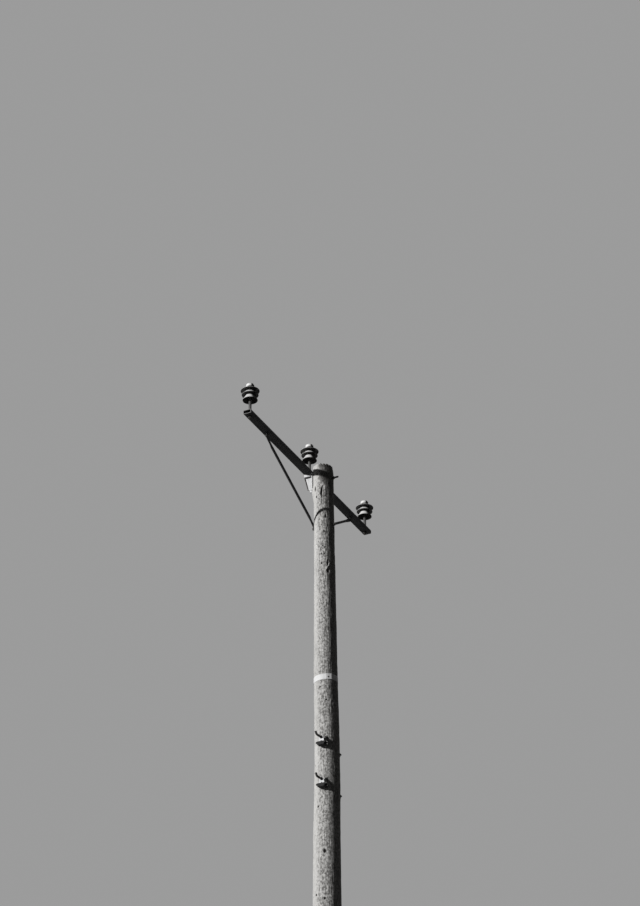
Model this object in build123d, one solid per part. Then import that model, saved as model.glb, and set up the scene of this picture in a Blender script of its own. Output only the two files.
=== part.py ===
from build123d import *
import math
import os

# A round wooden pole that carries overhead lines: a hollow steel arm on a welded bracket,
# three glazed pin insulators, two tubular braces, and two levels of cable hooks.
# Lengths are millimetres. The origin is on the pole's axis at ground level, Z is up, and X runs
# along the arm. The arm stands off the pole on the -Y side, which is called the front here, and
# right is the +X side.

# Pole, as diameters at four heights
pole_height = 14000
pole_tip_diameter = 188
pole_upper_diameter = 194
pole_upper_below_tip = 800
pole_middle_diameter = 253
pole_middle_below_tip = 4400
pole_ground_diameter = 332
pole_tip_wear = 7

# Arm, a rectangular hollow section laid flat
arm_length = 2620
arm_width = 80
arm_height = 40
arm_wall = 4
arm_corner = 7
arm_below_tip = 25
arm_to_pole = 15

# Bracket, welded from plate
bracket_width = 100
bracket_back_width = 124
bracket_plate = 6
bracket_back_plate = 8
bracket_depth = 168
bracket_lip_depth = 31
cheek_inner_gap = 40
cheek_thickness = 5
cheek_foot = 56
cheek_lip = 13
cheek_lip_thickness = 3
pole_facing_depth = 2
facing_margin = 4

# Bolts, screws and nuts: shank diameter, width across flats, head and nut heights
bracket_bolt_diameter = 18
bracket_bolt_below_arm = 100
bracket_bolt_tail = 42
bracket_screw_diameter = 12
bracket_screw_below_arm = 155
bracket_screw_length = 90
brace_bolt_diameter = 16
brace_bolt_tail = 14
arm_bolt_diameter = 12
arm_bolt_tail = 8
head_width_share = 1.55
head_height_share = 0.65
nut_height_share = 0.85
bolt_washer_diameter = 46
washer_thickness = 4
hole_clearance = 1.0
wood_clearance = 0.3

# Insulator pins
pin_shank_diameter = 28
pin_head_diameter = 26
pin_thread_diameter = 20
pin_collar_diameter = 48
pin_collar_height = 8
pin_taper_height = 14
pin_end_distance = 60
pin_thread_tail = 10
pin_washer_diameter = 37

# Insulators, three sheds that grow upwards
insulator_above_arm = 129
insulator_height = 170
middle_shed_level = 55
top_shed_level = 98
top_shed_diameter = 176
middle_shed_diameter = 158
lower_shed_diameter = 142
shed_rim = 6
shed_root_diameter = 98
shed_root_step = 6
shed_root_flare = 4
shed_root_bend = 9
shed_under_height = 9
shed_under_bend = 4
shed_edge_bend = 2.5
shed_drip_bend = 2
top_shoulder = 25
middle_shoulder = 35
lower_shoulder = 46
skirt_hollow = 26
skirt_hollow_bend = 7
crown_diameter = 76
crown_bend = 11
crown_lip = 12
crown_lip_bend = 5
neck_diameter = 62
neck_height = 136
neck_top = 4
neck_foot = 6
top_groove_diameter = 24
top_groove_depth = 9
socket_mouth_height = 34
socket_mouth_bend = 3
socket_depth = 86
socket_wall = 12

# Braces, tubes with flattened ends, and the lugs welded under the arm that hold them
brace_reach = 910
brace_drop = 605
brace_tube_diameter = 25
brace_end_width = 34
brace_end_thickness = 7
brace_flat_length = 60
brace_taper_length = 70
lug_width = 44
lug_thickness = 6
lug_hole_below_arm = 30

# Marker strip round the pole and its nails
marker_height = 56
marker_thickness = 2
marker_below_tip = 2262
marker_tab_start = 26
marker_tab_end = 52
marker_nail_angles = (40, 220)
nail_diameter = 3.5
nail_head_diameter = 11
nail_head_height = 2.5
nail_dome = 1.75
nail_length = 40

# Cable hooks, curled sideways so that a clamp can't slide off
hook_diameter = 20
hook_below_tip = (2855, 3259)
hook_embedment = 80
hook_straight = 14
hook_dip = 24
hook_curl = 26
hook_seat_length = 34
hook_elbow = (45, 25, 17)
hook_tip = (47, 34, 48)
hook_bend_radius = 15

# Cable clamps that hang in the hooks
cable_diameter = 22
cable_from_axis = 150
cable_below_hook = 60
clamp_length = 92
clamp_top_length = 56
clamp_keeper_length = 70
clamp_width = 46
clamp_upper_height = 16
clamp_lower_height = 16
clamp_end_share = 0.7
clamp_bolt_diameter = 6
clamp_bolt_spacing = 32
clamp_bolt_tail = 4
eye_plate = 8
eye_hole_diameter = 24
eye_outer_diameter = 40
eye_clearance = 0.3
clamp_window_diameter = 14
clamp_window_below_hook = 35

SIDES = {"right": 1, "left": -1}
UP = (0, 0, 1)
DOWN = (0, 0, -1)
BACKWARD = (0, 1, 0)


def pole_radius(height):
    """The pole's radius at a height, straight between the four measured diameters."""
    stations = [
        (0, pole_ground_diameter),
        (pole_height - pole_middle_below_tip, pole_middle_diameter),
        (pole_height - pole_upper_below_tip, pole_upper_diameter),
        (pole_height, pole_tip_diameter),
    ]
    for (low, low_size), (high, high_size) in zip(stations, stations[1:]):
        if height <= high:
            share = (height - low) / (high - low)
            return (low_size + share * (high_size - low_size)) / 2
    return pole_tip_diameter / 2


def rod(start, direction, diameter, length):
    """A round bar from a start point along a direction."""
    bar = Cylinder(diameter / 2, length, align=(Align.CENTER, Align.CENTER, Align.MIN))
    return Plane(origin=start, z_dir=direction) * bar


def hexagon(start, direction, across_flats, height):
    """A hexagonal prism from a start point along a direction."""
    flats = RegularPolygon(across_flats / 2, 6, major_radius=False)
    return extrude(Plane(origin=start, z_dir=direction) * flats, height)


def block(x_span, y_span, z_span):
    """A box between three pairs of coordinates."""
    (x0, x1), (y0, y1), (z0, z1) = (sorted(span) for span in (x_span, y_span, z_span))
    box = Box(x1 - x0, y1 - y0, z1 - z0, align=(Align.MIN, Align.MIN, Align.MIN))
    return Pos(x0, y0, z0) * box


def bolt(seat, direction, diameter, length):
    """A bolt whose head rests on the seat point and whose shank runs along the direction."""
    back = tuple(-part for part in direction)
    head = hexagon(seat, back, diameter * head_width_share, diameter * head_height_share)
    return rod(seat, direction, diameter, length) + head


def nut(seat, direction, diameter):
    """A nut that stands on the seat point, with a clear hole for its bolt."""
    height = diameter * nut_height_share
    body = hexagon(seat, direction, diameter * head_width_share, height)
    return body - rod(seat, direction, diameter + wood_clearance, height)


def washer(seat, direction, diameter, outer_diameter):
    """A round washer that stands on the seat point."""
    outer = rod(seat, direction, outer_diameter, washer_thickness)
    return outer - rod(seat, direction, diameter + wood_clearance, washer_thickness)


# Places that several pieces share
arm_top_z = pole_height - arm_below_tip
arm_z = arm_top_z - arm_height / 2
arm_bottom_z = arm_top_z - arm_height
arm_back_y = -(pole_radius(arm_z) + arm_to_pole)
arm_front_y = arm_back_y - arm_width
arm_y = (arm_back_y + arm_front_y) / 2
pin_places = {
    "right": arm_length / 2 - pin_end_distance,
    "middle": 0,
    "left": pin_end_distance - arm_length / 2,
}

bracket_bottom_z = arm_bottom_z - bracket_depth
bracket_bolt_z = arm_z - bracket_bolt_below_arm
bracket_screw_z = arm_z - bracket_screw_below_arm
bracket_seat_y = pole_facing_depth - pole_radius(bracket_bolt_z)
bracket_face_y = bracket_seat_y - bracket_back_plate

brace_bolt_z = arm_z - brace_drop
brace_seat_y = pole_facing_depth - pole_radius(brace_bolt_z)
lug_hole_z = arm_bottom_z - lug_hole_below_arm
lug_front_y = arm_y + brace_end_thickness / 2

bracket_washer_y = pole_radius(bracket_bolt_z) - pole_facing_depth
brace_washer_y = pole_radius(brace_bolt_z) - pole_facing_depth

marker_z = pole_height - marker_below_tip
hook_levels = {"upper": pole_height - hook_below_tip[0], "lower": pole_height - hook_below_tip[1]}


def nail_places():
    """The head seats and inward directions of the two marker nails, the first on the lap."""
    places = []
    for lap, turn in zip((1, 0), marker_nail_angles):
        angle = math.radians(turn)
        outward = (math.cos(angle), math.sin(angle), 0)
        layers = (1 + lap) * marker_thickness
        reach = pole_radius(marker_z) + wood_clearance + layers + wood_clearance
        seat = (outward[0] * reach, outward[1] * reach, marker_z)
        places.append((seat, (-outward[0], -outward[1], 0)))
    return places


def facing(y_seat, height, width, tall):
    """The wood planed off the round pole so that a flat piece seats at y_seat."""
    beyond = math.copysign(pole_ground_diameter, y_seat)
    z_span = (height - tall / 2, height + tall / 2)
    return block((-width / 2, width / 2), (y_seat, y_seat + beyond), z_span)


def make_pole():
    """The tapered pole, worn at the rim of its top, faced and drilled for its hardware."""
    wear_z = pole_height - pole_tip_wear
    outline = Polyline(
        (0, 0),
        (pole_ground_diameter / 2, 0),
        (pole_middle_diameter / 2, pole_height - pole_middle_below_tip),
        (pole_upper_diameter / 2, pole_height - pole_upper_below_tip),
        (pole_radius(wear_z), wear_z),
        (pole_tip_diameter / 2 - pole_tip_wear, pole_height),
        (0, pole_height),
        close=True,
    )
    pole = revolve(Plane.XZ * make_face(outline), Axis.Z)

    bracket_middle = (bracket_bottom_z + arm_bottom_z) / 2
    bracket_tall = bracket_depth + 2 * bracket_plate
    pole -= facing(bracket_seat_y, bracket_middle, bracket_back_width, bracket_tall)
    pole -= facing(brace_seat_y, brace_bolt_z, brace_end_width * 2, brace_end_width * 2)
    for washer_y, height, size in (
        (bracket_washer_y, bracket_bolt_z, bracket_bolt_diameter),
        (brace_washer_y, brace_bolt_z, brace_bolt_diameter),
    ):
        across = bolt_washer_diameter + 2 * facing_margin
        pole -= facing(washer_y, height, across, across)
        start = (0, -pole_ground_diameter, height)
        pole -= rod(start, BACKWARD, size + hole_clearance, 2 * pole_ground_diameter)

    screw_hole = bracket_screw_length - bracket_back_plate + wood_clearance
    screw_size = bracket_screw_diameter + 2 * wood_clearance
    start = (0, bracket_seat_y, bracket_screw_z)
    pole -= rod(start, BACKWARD, screw_size, screw_hole)

    for height in hook_levels.values():
        for side in SIDES.values():
            reach = pole_radius(height)
            start = (side * 2 * reach, 0, height)
            depth = reach + hook_embedment + wood_clearance
            pole -= rod(start, (-side, 0, 0), hook_diameter + 2 * wood_clearance, depth)

    for seat, inward in nail_places():
        size = nail_diameter + 2 * wood_clearance
        pole -= rod(seat, inward, size, nail_length + wood_clearance)
    return pole


def make_arm():
    """The hollow arm, open at both ends, with the pins' holes and two lugs for the braces."""
    outer = RectangleRounded(arm_width, arm_height, arm_corner)
    inner_width = arm_width - 2 * arm_wall
    inner_height = arm_height - 2 * arm_wall
    inner = RectangleRounded(inner_width, inner_height, arm_corner - arm_wall)
    section = Plane.YZ.offset(-arm_length / 2) * (outer - inner)
    arm = Pos(0, arm_y, arm_z) * extrude(section, arm_length)
    for place in pin_places.values():
        start = (place, arm_y, arm_bottom_z - arm_wall)
        arm -= rod(start, UP, pin_thread_diameter + hole_clearance, 2 * arm_height)
    for side in SIDES.values():
        place = side * brace_reach
        hole_place = (place, lug_front_y, lug_hole_z)
        lug_x = (place - lug_width / 2, place + lug_width / 2)
        lug_y = (lug_front_y, lug_front_y + lug_thickness)
        lug = block(lug_x, lug_y, (lug_hole_z, arm_bottom_z))
        lug += rod(hole_place, BACKWARD, lug_width, lug_thickness)
        arm += lug - rod(hole_place, BACKWARD, arm_bolt_diameter + hole_clearance, lug_thickness)
    return arm


def make_bracket():
    """The bracket: seat with turned-down lips, back plate, and two tapered cheeks with lips."""
    half = bracket_width / 2
    back_half = bracket_back_width / 2
    seat_low = arm_bottom_z - bracket_plate
    back_z = (bracket_bottom_z, arm_bottom_z)
    bracket = block((-half, half), (bracket_seat_y, arm_front_y), (seat_low, arm_bottom_z))
    bracket += block((-back_half, back_half), (bracket_seat_y, bracket_face_y), back_z)
    for side in SIDES.values():
        lip_x = (side * (half - bracket_plate), side * half)
        lip_z = (arm_bottom_z - bracket_lip_depth, seat_low)
        bracket += block(lip_x, (bracket_face_y, arm_front_y), lip_z)

    foot_y = bracket_face_y - cheek_foot
    turn_z = arm_bottom_z - bracket_lip_depth
    slope = math.hypot(foot_y - arm_front_y, turn_z - bracket_bottom_z)
    step_y = cheek_lip_thickness * slope / (turn_z - bracket_bottom_z)
    cheek = Polyline(
        (bracket_face_y, seat_low),
        (arm_front_y, seat_low),
        (arm_front_y, turn_z),
        (foot_y, bracket_bottom_z),
        (bracket_face_y, bracket_bottom_z),
        close=True,
    )
    lip = Polyline(
        (arm_front_y, seat_low),
        (arm_front_y, turn_z),
        (foot_y, bracket_bottom_z),
        (foot_y + step_y, bracket_bottom_z),
        (arm_front_y + step_y, turn_z),
        (arm_front_y + step_y, seat_low),
        close=True,
    )
    for side in SIDES.values():
        inner = side * cheek_inner_gap / 2
        for outline, thickness in ((cheek, cheek_thickness), (lip, cheek_thickness + cheek_lip)):
            start = min(inner, inner + side * thickness)
            bracket += extrude(Plane.YZ.offset(start) * make_face(outline), thickness)

    pin_start = (0, arm_y, bracket_bottom_z)
    bracket -= rod(pin_start, UP, pin_thread_diameter + hole_clearance, bracket_depth * 2)
    for height, size in (
        (bracket_bolt_z, bracket_bolt_diameter),
        (bracket_screw_z, bracket_screw_diameter),
    ):
        start = (0, bracket_face_y - cheek_thickness, height)
        depth = bracket_back_plate + 2 * cheek_thickness
        bracket -= rod(start, BACKWARD, size + hole_clearance, depth)
    return bracket


def make_insulator(place):
    """One insulator: a turned body with three sheds, a neck and crown grooves and a pin socket.

    Each row of the outline is a radius, a height above the insulator's foot and the radius that
    rounds the corner there.
    """
    socket_radius = pin_head_diameter / 2 + wood_clearance
    crown = crown_diameter / 2
    neck = neck_diameter / 2
    outline = [
        (0, insulator_height, 0),
        (crown, insulator_height, crown_bend),
        (crown, neck_height + crown_lip, crown_lip_bend),
        (neck, neck_height + neck_top, crown_lip_bend),
        (neck, neck_height - neck_foot, neck_foot),
    ]
    sheds = (
        (top_shed_diameter, top_shed_level, top_shoulder),
        (middle_shed_diameter, middle_shed_level, middle_shoulder),
        (lower_shed_diameter, 0, lower_shoulder),
    )
    root = shed_root_diameter / 2
    for size, level, shoulder in sheds:
        outline.append((root, level + shoulder, shed_root_bend))
        outline.append((size / 2, level + shed_rim, shed_edge_bend))
        outline.append((size / 2, level, shed_drip_bend))
        if level > 0:
            under = (root + shed_root_flare, level + shed_under_height, shed_under_bend)
            outline.append(under)
            root -= shed_root_step / 2
    outline += [
        (lower_shed_diameter / 2 - shed_rim, 0, shed_drip_bend),
        (root, skirt_hollow, skirt_hollow_bend),
        (socket_radius + socket_wall, socket_mouth_height, socket_mouth_bend),
        (socket_radius, socket_mouth_height, 0),
        (socket_radius, socket_mouth_height + socket_depth, 0),
        (0, socket_mouth_height + socket_depth, 0),
    ]
    points = [(radius, level) for radius, level, bend in outline]
    bends = [bend for radius, level, bend in outline]
    profile = make_face(FilletPolyline(*points, radius=bends, close=True))
    body = revolve(Plane.XZ * profile, Axis.Z)
    groove_z = insulator_height - top_groove_depth + top_groove_diameter / 2
    body -= rod((0, -crown_diameter, groove_z), BACKWARD, top_groove_diameter, 2 * crown_diameter)
    return Pos(place, arm_y, arm_top_z + insulator_above_arm) * body


def make_pin(place):
    """The steel pin of one insulator: thread, collar on the arm, shank and head."""
    under = bracket_plate if place == 0 else 0
    thread_low = -arm_height - under - washer_thickness - pin_nut_height - pin_thread_tail
    shank_top = insulator_above_arm + socket_mouth_height - wood_clearance
    head_top = insulator_above_arm + socket_mouth_height + socket_depth
    outline = Polyline(
        (0, thread_low),
        (pin_thread_diameter / 2, thread_low),
        (pin_thread_diameter / 2, 0),
        (pin_collar_diameter / 2, 0),
        (pin_collar_diameter / 2, pin_collar_height),
        (pin_shank_diameter / 2, pin_collar_height + pin_taper_height),
        (pin_shank_diameter / 2, shank_top),
        (pin_head_diameter / 2, shank_top),
        (pin_head_diameter / 2, head_top),
        (0, head_top),
        close=True,
    )
    return Pos(place, arm_y, arm_top_z) * revolve(Plane.XZ * make_face(outline), Axis.Z)


def make_brace(side, layer):
    """One brace from the arm's lug to the pole's bolt, a bar whose ends are flattened and drilled."""
    arm_end = Vector(side * brace_reach, lug_front_y - brace_end_thickness / 2, lug_hole_z)
    layer_y = brace_seat_y - brace_end_thickness * (layer + 0.5)
    pole_end = Vector(0, layer_y, brace_bolt_z)
    along = Vector(pole_end.X - arm_end.X, 0, pole_end.Z - arm_end.Z).normalized()
    across = Vector(BACKWARD).cross(along)
    tube_start = arm_end + along * (brace_flat_length + brace_taper_length)
    tube_end = pole_end - along * (brace_flat_length + brace_taper_length)
    lean = (tube_end - tube_start).normalized()

    flat_section = Rectangle(brace_end_width, brace_end_thickness)
    round_section = Circle(brace_tube_diameter / 2)
    tube_plane = Plane(tube_start, x_dir=across, z_dir=lean)
    brace = extrude(tube_plane * round_section, (tube_end - tube_start).length)
    ends = (
        (arm_end, along, tube_start, arm_bolt_diameter),
        (pole_end, -along, tube_end, brace_bolt_diameter),
    )
    for end, inward, tube_point, bolt_size in ends:
        flat_plane = Plane(end + inward * brace_flat_length, x_dir=across, z_dir=inward)
        round_plane = Plane(tube_point, x_dir=across, z_dir=lean)
        brace += loft([flat_plane * flat_section, round_plane * round_section])
        face = end - Vector(BACKWARD) * brace_end_thickness / 2
        tongue = extrude(Plane(end, x_dir=across, z_dir=inward) * flat_section, brace_flat_length)
        tongue += rod(face, BACKWARD, brace_end_width, brace_end_thickness)
        brace += tongue
        brace -= rod(face, BACKWARD, bolt_size + hole_clearance, brace_end_thickness)
    return brace


def make_marker():
    """The marker strip: a ring that follows the pole's taper, with its lapped end."""
    low = marker_z - marker_height / 2
    high = marker_z + marker_height / 2
    rings = []
    for gap in (wood_clearance, wood_clearance + marker_thickness):
        outline = Polyline(
            (pole_radius(low) + gap, low),
            (pole_radius(low) + gap + marker_thickness, low),
            (pole_radius(high) + gap + marker_thickness, high),
            (pole_radius(high) + gap, high),
            close=True,
        )
        rings.append(make_face(outline))
    strip = revolve(Plane.XZ * rings[0], Axis.Z)
    start = Plane.XZ.rotated((0, 0, marker_tab_start))
    strip += revolve(start * rings[1], Axis.Z, marker_tab_end - marker_tab_start)
    for seat, inward in nail_places():
        strip -= rod(seat, inward, nail_diameter + 2 * wood_clearance, nail_length)
    return strip


def make_nails():
    """The two nails through the marker strip, one on its lap and one opposite, with domed heads."""
    nails = []
    for seat, inward in nail_places():
        outward = (-inward[0], -inward[1], 0)
        shank = rod(seat, inward, nail_diameter, nail_length)
        head = rod(seat, outward, nail_head_diameter, nail_head_height)
        rim = head.edges().filter_by(GeomType.CIRCLE)
        far = max(rim, key=lambda edge: math.hypot(edge.center().X, edge.center().Y))
        nails.append(shank + fillet(far, nail_dome))
    return Compound(children=nails)


def make_hook(side, height):
    """One cable hook: a bar screwed into the pole that dips, runs level and curls up to its tip."""
    surface = pole_radius(height)
    seat_z = height - hook_dip
    elbow_x, elbow_y, elbow_z = hook_elbow
    tip_x, tip_y, tip_z = hook_tip
    path = FilletPolyline(
        (side * (surface - hook_embedment), 0, height),
        (side * (surface + hook_straight), 0, height),
        (side * (cable_from_axis - hook_seat_length / 2), hook_curl, seat_z),
        (side * (cable_from_axis + hook_seat_length / 2), hook_curl, seat_z),
        (side * (cable_from_axis + elbow_x), hook_curl - elbow_y, seat_z + elbow_z),
        (side * (cable_from_axis + tip_x), hook_curl - tip_y, seat_z + tip_z),
        radius=hook_bend_radius,
    )
    start = Plane(origin=path @ 0, z_dir=path % 0)
    return sweep(start * Circle(hook_diameter / 2), path)


def drilled(shape, x, cable_z, bolt_hole):
    """A clamp piece with the cable's bore and, where the studs pass, their two holes."""
    shape -= rod((x, hook_curl - clamp_length, cable_z), BACKWARD, cable_diameter, 2 * clamp_length)
    if bolt_hole:
        for offset in (-clamp_bolt_spacing / 2, clamp_bolt_spacing / 2):
            start = (x + offset, hook_curl, cable_z - clamp_lower_height)
            shape -= rod(start, UP, bolt_hole, 2 * (clamp_upper_height + clamp_lower_height))
    return shape


def jaw_section(x, cable_z, length, height):
    """A jaw that stands on the cable's middle plane, thinner towards its two ends."""
    outline = Polyline(
        (hook_curl - length / 2, cable_z),
        (hook_curl + length / 2, cable_z),
        (hook_curl + length / 2, cable_z + height * clamp_end_share),
        (hook_curl + clamp_top_length / 2, cable_z + height),
        (hook_curl - clamp_top_length / 2, cable_z + height),
        (hook_curl - length / 2, cable_z + height * clamp_end_share),
        close=True,
    )
    return extrude(Plane.YZ.offset(x - clamp_width / 2) * make_face(outline), clamp_width)


def make_clamp(side, height):
    """The hanging part of one cable clamp: a three-cornered plate with an eye, and the upper jaw."""
    x = side * cable_from_axis
    seat_z = height - hook_dip
    cable_z = seat_z - cable_below_hook
    jaw_top = cable_z + clamp_upper_height
    eye_z = seat_z + hook_diameter / 2 + eye_clearance - eye_hole_diameter / 2
    corner = Pos(hook_curl, eye_z) * Circle(eye_outer_diameter / 2)
    foot = Pos(hook_curl, jaw_top) * Rectangle(clamp_top_length, eye_plate)
    plate = make_hull(corner.edges() + foot.edges())
    plate -= Pos(hook_curl, eye_z) * Circle(eye_hole_diameter / 2)
    plate -= Pos(hook_curl, seat_z - clamp_window_below_hook) * Circle(clamp_window_diameter / 2)
    clamp = extrude(Plane.YZ.offset(x - eye_plate / 2) * plate, eye_plate)
    clamp += jaw_section(x, cable_z, clamp_length, clamp_upper_height)
    return drilled(clamp, x, cable_z, clamp_bolt_diameter + 2 * wood_clearance)


def make_keeper(side, height):
    """The lower jaw of one cable clamp, with the two studs and nuts that draw it up."""
    x = side * cable_from_axis
    cable_z = height - hook_dip - cable_below_hook
    jaw_top = cable_z + clamp_upper_height
    low = cable_z - clamp_lower_height
    keeper = jaw_section(x, cable_z, clamp_keeper_length, -clamp_lower_height)
    keeper = drilled(keeper, x, cable_z, None)
    nut_height = clamp_bolt_diameter * nut_height_share
    stud_length = jaw_top - low + nut_height + clamp_bolt_tail
    for offset in (-clamp_bolt_spacing / 2, clamp_bolt_spacing / 2):
        keeper += rod((x + offset, hook_curl, low), UP, clamp_bolt_diameter, stud_length)
        across = clamp_bolt_diameter * head_width_share
        keeper += hexagon((x + offset, hook_curl, jaw_top), UP, across, nut_height)
    return keeper


pin_nut_height = pin_thread_diameter * nut_height_share
parts = {"pole": make_pole(), "crossarm": make_arm(), "arm_bracket": make_bracket()}

# Through bolt and screw of the bracket
bolt_reach = bracket_washer_y - bracket_face_y + washer_thickness
bolt_reach += bracket_bolt_diameter * nut_height_share + bracket_bolt_tail
bracket_bolt_seat = (0, bracket_face_y, bracket_bolt_z)
parts["bracket_bolt"] = bolt(bracket_bolt_seat, BACKWARD, bracket_bolt_diameter, bolt_reach)
washer_seat = (0, bracket_washer_y, bracket_bolt_z)
parts["bracket_washer"] = washer(washer_seat, BACKWARD, bracket_bolt_diameter, bolt_washer_diameter)
nut_seat = (0, bracket_washer_y + washer_thickness, bracket_bolt_z)
parts["bracket_nut"] = nut(nut_seat, BACKWARD, bracket_bolt_diameter)
screw_seat = (0, bracket_face_y, bracket_screw_z)
parts["bracket_screw"] = bolt(screw_seat, BACKWARD, bracket_screw_diameter, bracket_screw_length)

# Insulators on their pins
for name, place in pin_places.items():
    parts["insulator_" + name] = make_insulator(place)
    parts["insulator_pin_" + name] = make_pin(place)
    under = bracket_plate if place == 0 else 0
    seat_z = arm_bottom_z - under
    seat = (place, arm_y, seat_z)
    parts["pin_washer_" + name] = washer(seat, DOWN, pin_thread_diameter, pin_washer_diameter)
    nut_z = seat_z - washer_thickness
    parts["pin_nut_" + name] = nut((place, arm_y, nut_z), DOWN, pin_thread_diameter)

# Braces, each with the bolt that holds it to the arm's lug
for layer, (name, side) in enumerate(SIDES.items()):
    parts["brace_" + name] = make_brace(side, layer)
    reach = brace_end_thickness + lug_thickness
    reach += arm_bolt_diameter * nut_height_share + arm_bolt_tail
    seat = (side * brace_reach, lug_front_y - brace_end_thickness, lug_hole_z)
    parts["arm_bolt_" + name] = bolt(seat, BACKWARD, arm_bolt_diameter, reach)
    seat = (side * brace_reach, lug_front_y + lug_thickness, lug_hole_z)
    parts["arm_nut_" + name] = nut(seat, BACKWARD, arm_bolt_diameter)

# The bolt through the pole where both braces meet
head_y = brace_seat_y - 2 * brace_end_thickness
reach = brace_washer_y - head_y + washer_thickness
reach += brace_bolt_diameter * nut_height_share + brace_bolt_tail
parts["brace_bolt"] = bolt((0, head_y, brace_bolt_z), BACKWARD, brace_bolt_diameter, reach)
washer_seat = (0, brace_washer_y, brace_bolt_z)
parts["brace_washer"] = washer(washer_seat, BACKWARD, brace_bolt_diameter, bolt_washer_diameter)
nut_seat = (0, brace_washer_y + washer_thickness, brace_bolt_z)
parts["brace_nut"] = nut(nut_seat, BACKWARD, brace_bolt_diameter)

# Marker strip
parts["marker_strip"] = make_marker()
parts["marker_nails"] = make_nails()

# Hooks and cable clamps
for level, height in hook_levels.items():
    for name, side in SIDES.items():
        where = "_" + level + "_" + name
        parts["cable_hook" + where] = make_hook(side, height)
        parts["cable_clamp" + where] = make_clamp(side, height)
        parts["clamp_keeper" + where] = make_keeper(side, height)

os.makedirs("parts", exist_ok=True)
for name, shape in parts.items():
    shape.label = name
    export_step(shape, os.path.join("parts", name + ".step"))
print(len(parts), "parts")
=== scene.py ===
import math

import bpy
import numpy as np
from mathutils import Matrix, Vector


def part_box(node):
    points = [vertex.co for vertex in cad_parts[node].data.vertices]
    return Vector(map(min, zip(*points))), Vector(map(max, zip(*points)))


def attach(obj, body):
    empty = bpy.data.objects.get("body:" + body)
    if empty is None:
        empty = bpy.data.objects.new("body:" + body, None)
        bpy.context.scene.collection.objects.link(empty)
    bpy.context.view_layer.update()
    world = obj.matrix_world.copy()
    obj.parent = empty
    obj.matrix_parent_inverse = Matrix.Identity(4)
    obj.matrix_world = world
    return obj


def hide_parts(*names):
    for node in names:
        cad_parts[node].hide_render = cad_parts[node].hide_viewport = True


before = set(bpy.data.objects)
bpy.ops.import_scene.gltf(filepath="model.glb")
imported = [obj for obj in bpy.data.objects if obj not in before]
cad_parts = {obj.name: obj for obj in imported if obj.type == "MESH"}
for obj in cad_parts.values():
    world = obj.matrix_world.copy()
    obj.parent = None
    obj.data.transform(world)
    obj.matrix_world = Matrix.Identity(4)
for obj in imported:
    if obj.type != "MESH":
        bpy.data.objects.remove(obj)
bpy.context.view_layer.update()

# The pole: one peeled pine trunk that stands in the ground and tapers to a sawn, rotted top.
# Years of sun have turned it silver grey and opened drying checks along the grain. The side
# away from the key lamp is darkened in its colour: painted shade, together with a damp stain that
# runs down from the rotted top.
pole_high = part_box("pole")[1]
pole_top = pole_high.z
pole_heights = (0.0, pole_top - 4.4, pole_top - 0.8, pole_top)
pole_radii = (pole_high.x, 0.1265, 0.097, 0.094)
rim_wear = 0.004
rim_share = 0.16

# The surface's grid: columns all round with closer ones beside each check, and rows in runs from
# one height to the next with the step between them, closer beside each knot and at the rim
plain_columns = 126
check_columns = 13
check_reach = 0.018
least_turn = 0.004
row_runs = (
    (0.0, 9.4, 0.110), (9.4, 12.8, 0.025), (12.8, 12.98, 0.007), (12.98, 13.5, 0.014),
    (13.5, 13.955, 0.009),
)
rim_rows = 10
knot_rows = 7
knot_reach = 1.5
least_step = 0.002

# Relief drawn out along the grain: each layer's depth, its waves round the trunk and from the
# ground to the top, and its seed. Flecks are the peaks of one more layer.
relief_layers = ((0.0013, 8, 60, 1), (0.0010, 26, 300, 2), (0.0008, 84, 330, 3))
fleck_waves = (60, 800, 4)
fleck_level = 0.40
fleck_depth = 0.0045
ground_fade = 0.6
grain_sway = 0.012
grain_sway_rate = 0.8
grain_twist = 0.002

# Splinters that still stand on the rotted rim: angle and half width in degrees, and the share
# of the lost depth that each keeps
splinters = (
    (7.0, 5.0, 1.00), (15.0, 4.0, 0.35), (26.0, 8.0, 0.80), (33.0, 4.0, 0.60), (48.0, 9.0, 0.75),
    (57.0, 4.0, 0.85), (71.0, 7.0, 0.90), (81.0, 5.0, 0.40), (97.0, 10.0, 0.75),
    (113.0, 6.0, 0.40), (128.0, 9.0, 0.85), (150.0, 8.0, 0.60), (-176.0, 12.0, 0.80),
    (-140.0, 16.0, 0.65), (-95.0, 14.0, 0.70), (-50.0, 12.0, 0.80), (-20.0, 10.0, 0.60),
)

# Drying checks: angle in degrees, middle height, half length, half width and depth, then how
# far the check leans sideways for each metre up and how much it bends for each square metre
checks = (
    (10.5, 13.680, 0.066, 0.0095, 0.026, 0.095, 1.86),
    (39.0, 13.651, 0.036, 0.0080, 0.020, 0.020, 2.50),
    (-32.0, 13.728, 0.030, 0.0070, 0.012, 0.020, 0.0),
    (11.0, 13.578, 0.042, 0.0035, 0.006, 0.010, 0.0),
    (42.0, 12.915, 0.038, 0.0085, 0.016, 0.0, 0.0),
    (-118.0, 12.900, 0.950, 0.0045, 0.020, 0.012, 0.01),
    (163.0, 11.300, 1.700, 0.0050, 0.022, -0.010, 0.0),
)

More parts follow.
